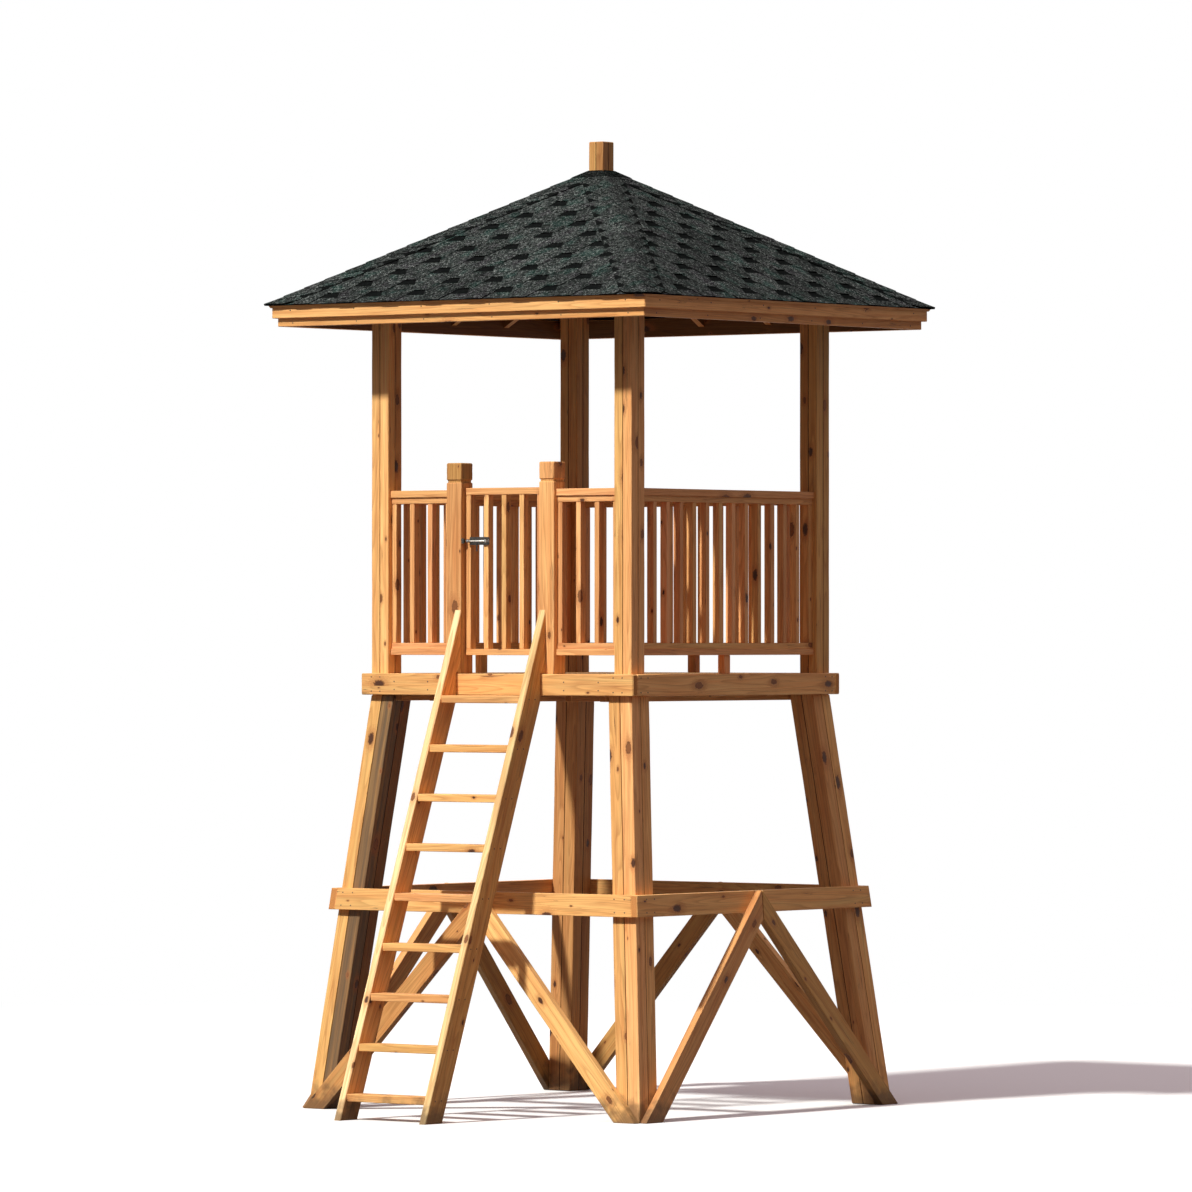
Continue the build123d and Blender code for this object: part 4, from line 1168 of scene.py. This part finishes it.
def makeBolt():
    looks = steelLooks
    guideLow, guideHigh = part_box("bolt_guide")
    rodLow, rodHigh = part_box("bolt_rod")
    keeperLow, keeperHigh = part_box("bolt_keeper")
    right, outward = turned(0)
    radius, thickness, loop = looks["boltRadius"], looks["plateThickness"], looks["loopLength"]
    level, out = rodHigh.z - radius, rodLow.y + radius
    chance = np.random.default_rng(500)
    # the plate, drawn in x and z, is thick towards the front
    middle = np.array([(guideLow.x + guideHigh.x) / 2, guideHigh.y, (guideLow.z + guideHigh.z) / 2])
    outline = roundedOutline(guideHigh.x - guideLow.x, guideHigh.z - guideLow.z, looks["plateCorner"])
    guide = [plate(chance, outline, middle, right, up, thickness, (1, 0), looks["easing"], sawnKind=0)]
    bore = radius + looks["boreGap"]
    shoulder, backing = bore + looks["loopWall"], guideHigh.y - out - thickness / 2

    def strap(cosine, sine):
        # a half circle in front, straight sides behind, down to the plate
        straight = np.minimum(shoulder / np.maximum(np.abs(sine), 1e-6), backing / np.maximum(-cosine, 1e-6))
        return np.where(cosine >= 0, shoulder, straight)

    guide += [hoop(np.array([x, out, level]), right, loop, outward, strap, bore, kind=1)
              for x in (guideLow.x, guideHigh.x - loop)]
    wide, high = looks["screwPlaces"]
    places = [middle + [x, -thickness, z] for x, z in product((-wide, wide), (-high, high))]
    guide.append(heads(places, [outward] * 4, looks["screwRadius"], looks["screwRise"]))
    makePiece("bolt.plate.loops", guide, [oxideShadeZinc, zinc], "gate_leaf", ["bolt_guide"])

    length, reach = rodHigh.x - rodLow.x, level - rodLow.z
    distances = np.array([*looks["noseSteps"], length / 2, length - looks["tailStep"], length])
    radii = radius * np.array([*looks["noseShares"], 1.0, 1.0, looks["tailShare"]])
    rod = turning(np.array([rodLow.x, out, level]), right, distances, radii, 28)
    wide, thickness = looks["handleWidth"], looks["handleThickness"]
    outline = roundedOutline(wide, reach, looks["handleCorner"], 7)
    handle = plate(chance, outline, np.array([middle[0], out + thickness / 2, level - reach / 2]), right, up,
                   thickness, (0, 1), looks["handleEasing"], sawnKind=0)
    for key in ("quadKind", "triangleKind"):
        handle[key] += 1  # the handle has the second finish
    makePiece("bolt.bar", [rod, handle], [brightZinc, darkSteel], "slide_bolt", ["bolt_rod"])

    depth, half = (keeperHigh.y - keeperLow.y) / 2, (keeperHigh.z - keeperLow.z) / 2

    def block(cosine, sine):
        # whichever straight side is nearer: a plain rectangle
        return np.minimum(depth / np.maximum(np.abs(cosine), 1e-6), half / np.maximum(np.abs(sine), 1e-6))

    keeper = hoop(np.array([keeperLow.x, out, level]), right, keeperHigh.x - keeperLow.x, outward, block,
                  radius + looks["catchGap"], looks["catchEasing"])
    makePiece("bolt.catch", [keeper], [oxideShadeZinc], nodes=["bolt_keeper"])


def finishHinges():
    # the hinges keep their shape and gain a zinc finish and screws
    looks = steelLooks
    for title in ("gate_hinge_plates", "post_hinge_plates"):
        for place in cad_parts[title].material_slots:
            place.material = zinc
    low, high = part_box("gate_hinge_plates")
    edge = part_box("post_hinge_plates")[1]
    middles = low.z + looks["hingeInset"], high.z - looks["hingeInset"]
    for name, body, x, y, step, facing, size in (
            ("gate.hinge.screws", "gate_leaf", low.x + looks["leafInset"], high.y - looks["leafInset"],
             looks["leafStep"], -turned(0)[1], looks["leafScrew"]),
            ("post.hinge.screws", "tower", edge.x - looks["postInset"][0], edge.y - looks["postInset"][1],
             looks["postStep"], -turned(0)[0], looks["postScrew"])):
        places = [[x, y, z + shift] for z, shift in product(middles, (-step, step))]
        makePiece(name, [heads(places, [facing] * 4, *size)], [zinc], body, nodes=[])


# the third finish is oxidised zinc, darkened further as painted shade round the bolt's bar; the plate, its
# screws and the catch take it
zinc, brightZinc, oxideShadeZinc, darkSteel = [
    steelMaterial(name, steelLooks[pale], steelLooks[dull], metal) for name, pale, dull, metal in (
        ("zincSteel", "zinc", "dull", 1.0), ("brightZinc", "bright", "worn", 1.0),
        ("oxideShadeZinc", "smoky", "sooty", 0.9), ("darkSteel", "dark", "black", 0.7))]
makeBolt()
finishHinges()
print("bolt and hinges finished")

nailLooks = dict(
    radius=0.0042, rise=0.0008, rust=(0.050, 0.023, 0.013), steel=(0.095, 0.080, 0.070),
    rimEnds=(0.823, 0.885), rimInset=0.020, joistInset=0.045, joistRise=0.030, gateClear=0.03,
    girtInset=0.024, girtEnds=(0.045, 0.115), deckInset=0.03, treadSteps=(0.034, 0.086),
    fasciaEnd=1.18, stripInset=0.018, fasciaInset=0.088,
)


def nailMaterial():
    # rusty wire nail: brown over dull grey
    material = newMaterial("rustyNail")
    patch = grainNoise(ownPlace(), 500.0)
    colour = blend(remap(patch, 0.35, 0.6), nailLooks["rust"], nailLooks["steel"])
    return coat(material, colour, remap(patch, 0.3, 0.7, 0.75, 0.5), 0.25)


def makeNails():
    looks, nails = nailLooks, []

    def drive(side, alongs, out, heights, facing=None):
        # nails at every height of each place along a side
        nails.extend((spot(side, along, out, height), turned(side)[1] if facing is None else facing)
                     for along, height in product(alongs, heights))

    for side in range(4):
        # rims into the posts, near the corners and at the joists
        corners = [sign * along for sign, along in product((-1, 1), looks["rimEnds"])]
        drive(side, corners, rimSpan, (deckTop - looks["rimInset"], rimBottom + looks["rimInset"]))
        if side in (0, 2):
            clear = [x for x in joistPlaces() if side or abs(x) >= gatePostOuter + looks["gateClear"]]
            drive(side, clear, rimSpan, (deckTop - looks["joistInset"], rimBottom + looks["joistRise"]))
        # girts into the legs: two rows of two at each end
        for height in (girtLow.z + looks["girtInset"], girtHigh.z - looks["girtInset"]):
            out = legOuter(height)
            drive(side, [sign * (out - inset) for sign, inset in product((-1, 1), looks["girtEnds"])],
                  out + girtThickness, [height], turned(side)[1] + up * legSplay)
    # deck boards into the joists
    rows, inset = deckRows(), looks["deckInset"]
    lines = [line for front, back in zip(rows[1:-2], rows[2:-1]) for line in (front + inset, back - inset)]
    for x, line in product(joistPlaces(), lines):
        drive(0, [x], -line, [deckTop], up)
    # treads through the stringers' outer faces
    for (middle, front), sign, step in product(treads(), (-1, 1), looks["treadSteps"]):
        drive(0, [sign * stringerHigh.x], front - step, [middle], sign * turned(0)[0])
    # fascia strips into the rafters' ends
    for side, place, sign in product(range(4), (*roofLooks["rafterPlaces"], looks["fasciaEnd"]), (-1, 1)):
        drive(side, [sign * place], stripSpan, [fasciaTop - looks["stripInset"]])
        drive(side, [sign * place], fasciaSpan, [fasciaTop - looks["fasciaInset"]])
    heading = heads(*zip(*nails), looks["radius"], looks["rise"], 8)
    makePiece("nails", [heading], [nailMaterial()], nodes=[])
    print("%d nails driven" % len(nails))


makeNails()

# the scene: a pale floor, a soft sun from the front left and an even sky
sceneLooks = dict(
    viewFrom=(27.62, -35.40, 2.671), lens=242.6, sensor=36.0, seesTo=400.0,
    turnLeft=0.038, pitchUp=0.244,  # degrees from the tower's axis, and above level
    sunFrom=(-0.16, -1.0, 1.06),
    sunStrength=4.1, sunAngle=4.0, sunColour=(1.0, 1.0, 0.96),
    skyLow=0.04, skyHigh=0.79, skyRise=1.6, skyColour=(1.0, 0.81, 0.86),  # from the horizon to overhead
    floorHalf=80.0, floorSeen=(0.95, 0.95, 0.94), floorBounce=(0.10, 0.082, 0.084), floorFade=(7.0, 13.0),
    floorDrop=0.0005,
)


def lookAlong(thing, direction):
    thing.rotation_euler = Vector(direction).to_track_quat("-Z", "Y").to_euler()


def addThing(name, data):
    thing = bpy.data.objects.new(name, data)
    bpy.context.scene.collection.objects.link(thing)
    return thing


def seenDirectly():
    # 1 where the camera looks, also by way of a reflection or through glass
    path = node("LightPath")
    return calc("MAXIMUM", path["Is Camera Ray"], calc("MAXIMUM", path["Is Glossy Ray"],
                                                       path["Is Transmission Ray"]))


def makeFloor():
    # Under the tower it takes the shadow; with distance it fades into plain white.
    looks, half = sceneLooks, sceneLooks["floorHalf"]
    mesh = bpy.data.meshes.new("floor")
    corners = [(-half, -half, 0), (half, -half, 0), (half, half, 0), (-half, half, 0)]
    mesh.from_pydata(corners, [], [(0, 1, 2, 3)])
    floor = addThing("floor", mesh)
    floor.location.z = cadLow.z - looks["floorDrop"]
    material, seen = newMaterial("floorPaint"), seenDirectly()
    coat(material, blend(seen, looks["floorBounce"], looks["floorSeen"]), 0.9, 0.1)
    x, y, _ = split(ownPlace())
    fade = remap(calc("SQRT", x ** 2 + y ** 2), *looks["floorFade"], 0, 1, smooth=True) * seen
    paint = Signal(Signal.tree.nodes["Principled BSDF"].outputs[0])
    feed(Signal.tree.nodes["Material Output"].inputs["Surface"],
         node("MixShader", (fade, paint, node("Emission"))))
    mesh.materials.append(material)


def makeSky():
    # soft light that grows from the horizon upwards, and white where it is seen
    looks = sceneLooks
    world = bpy.context.scene.world = bpy.data.worlds.new("sky")
    world.use_nodes = True
    Signal.tree = world.node_tree
    sky, seen = world.node_tree.nodes["Background"].inputs, seenDirectly()
    feed(sky["Color"], blend(seen, looks["skyColour"], (1.0, 1.0, 1.0)))
    height = split(node("TexCoord", (), "Generated"))[2]
    light = remap(calc("MAXIMUM", height, 0.0) ** looks["skyRise"], 0, 1, looks["skyLow"], looks["skyHigh"])
    feed(sky["Strength"], calc("MAXIMUM", light, seen))


def makeScene():
    looks = sceneLooks
    camera = addThing("camera", bpy.data.cameras.new("camera"))
    camera.data.lens, camera.data.sensor_width = looks["lens"], looks["sensor"]
    camera.data.clip_end = looks["seesTo"]
    camera.location = looks["viewFrom"]
    forward = unit(np.array([-looks["viewFrom"][0], towerY - looks["viewFrom"][1], 0.0]))
    level = unit(forward + np.cross(up, forward) * radians(looks["turnLeft"]))
    lookAlong(camera, level * cos(radians(looks["pitchUp"])) + up * sin(radians(looks["pitchUp"])))
    bpy.context.scene.camera = camera
    sun = addThing("sun", bpy.data.lights.new("sun", "SUN"))
    sun.data.energy, sun.data.color = looks["sunStrength"], looks["sunColour"]
    sun.data.angle = radians(looks["sunAngle"])
    lookAlong(sun, [-value for value in looks["sunFrom"]])
    makeSky()
    makeFloor()
    bpy.context.scene.view_settings.view_transform = "Standard"


makeScene()
print("floor, light and camera made")
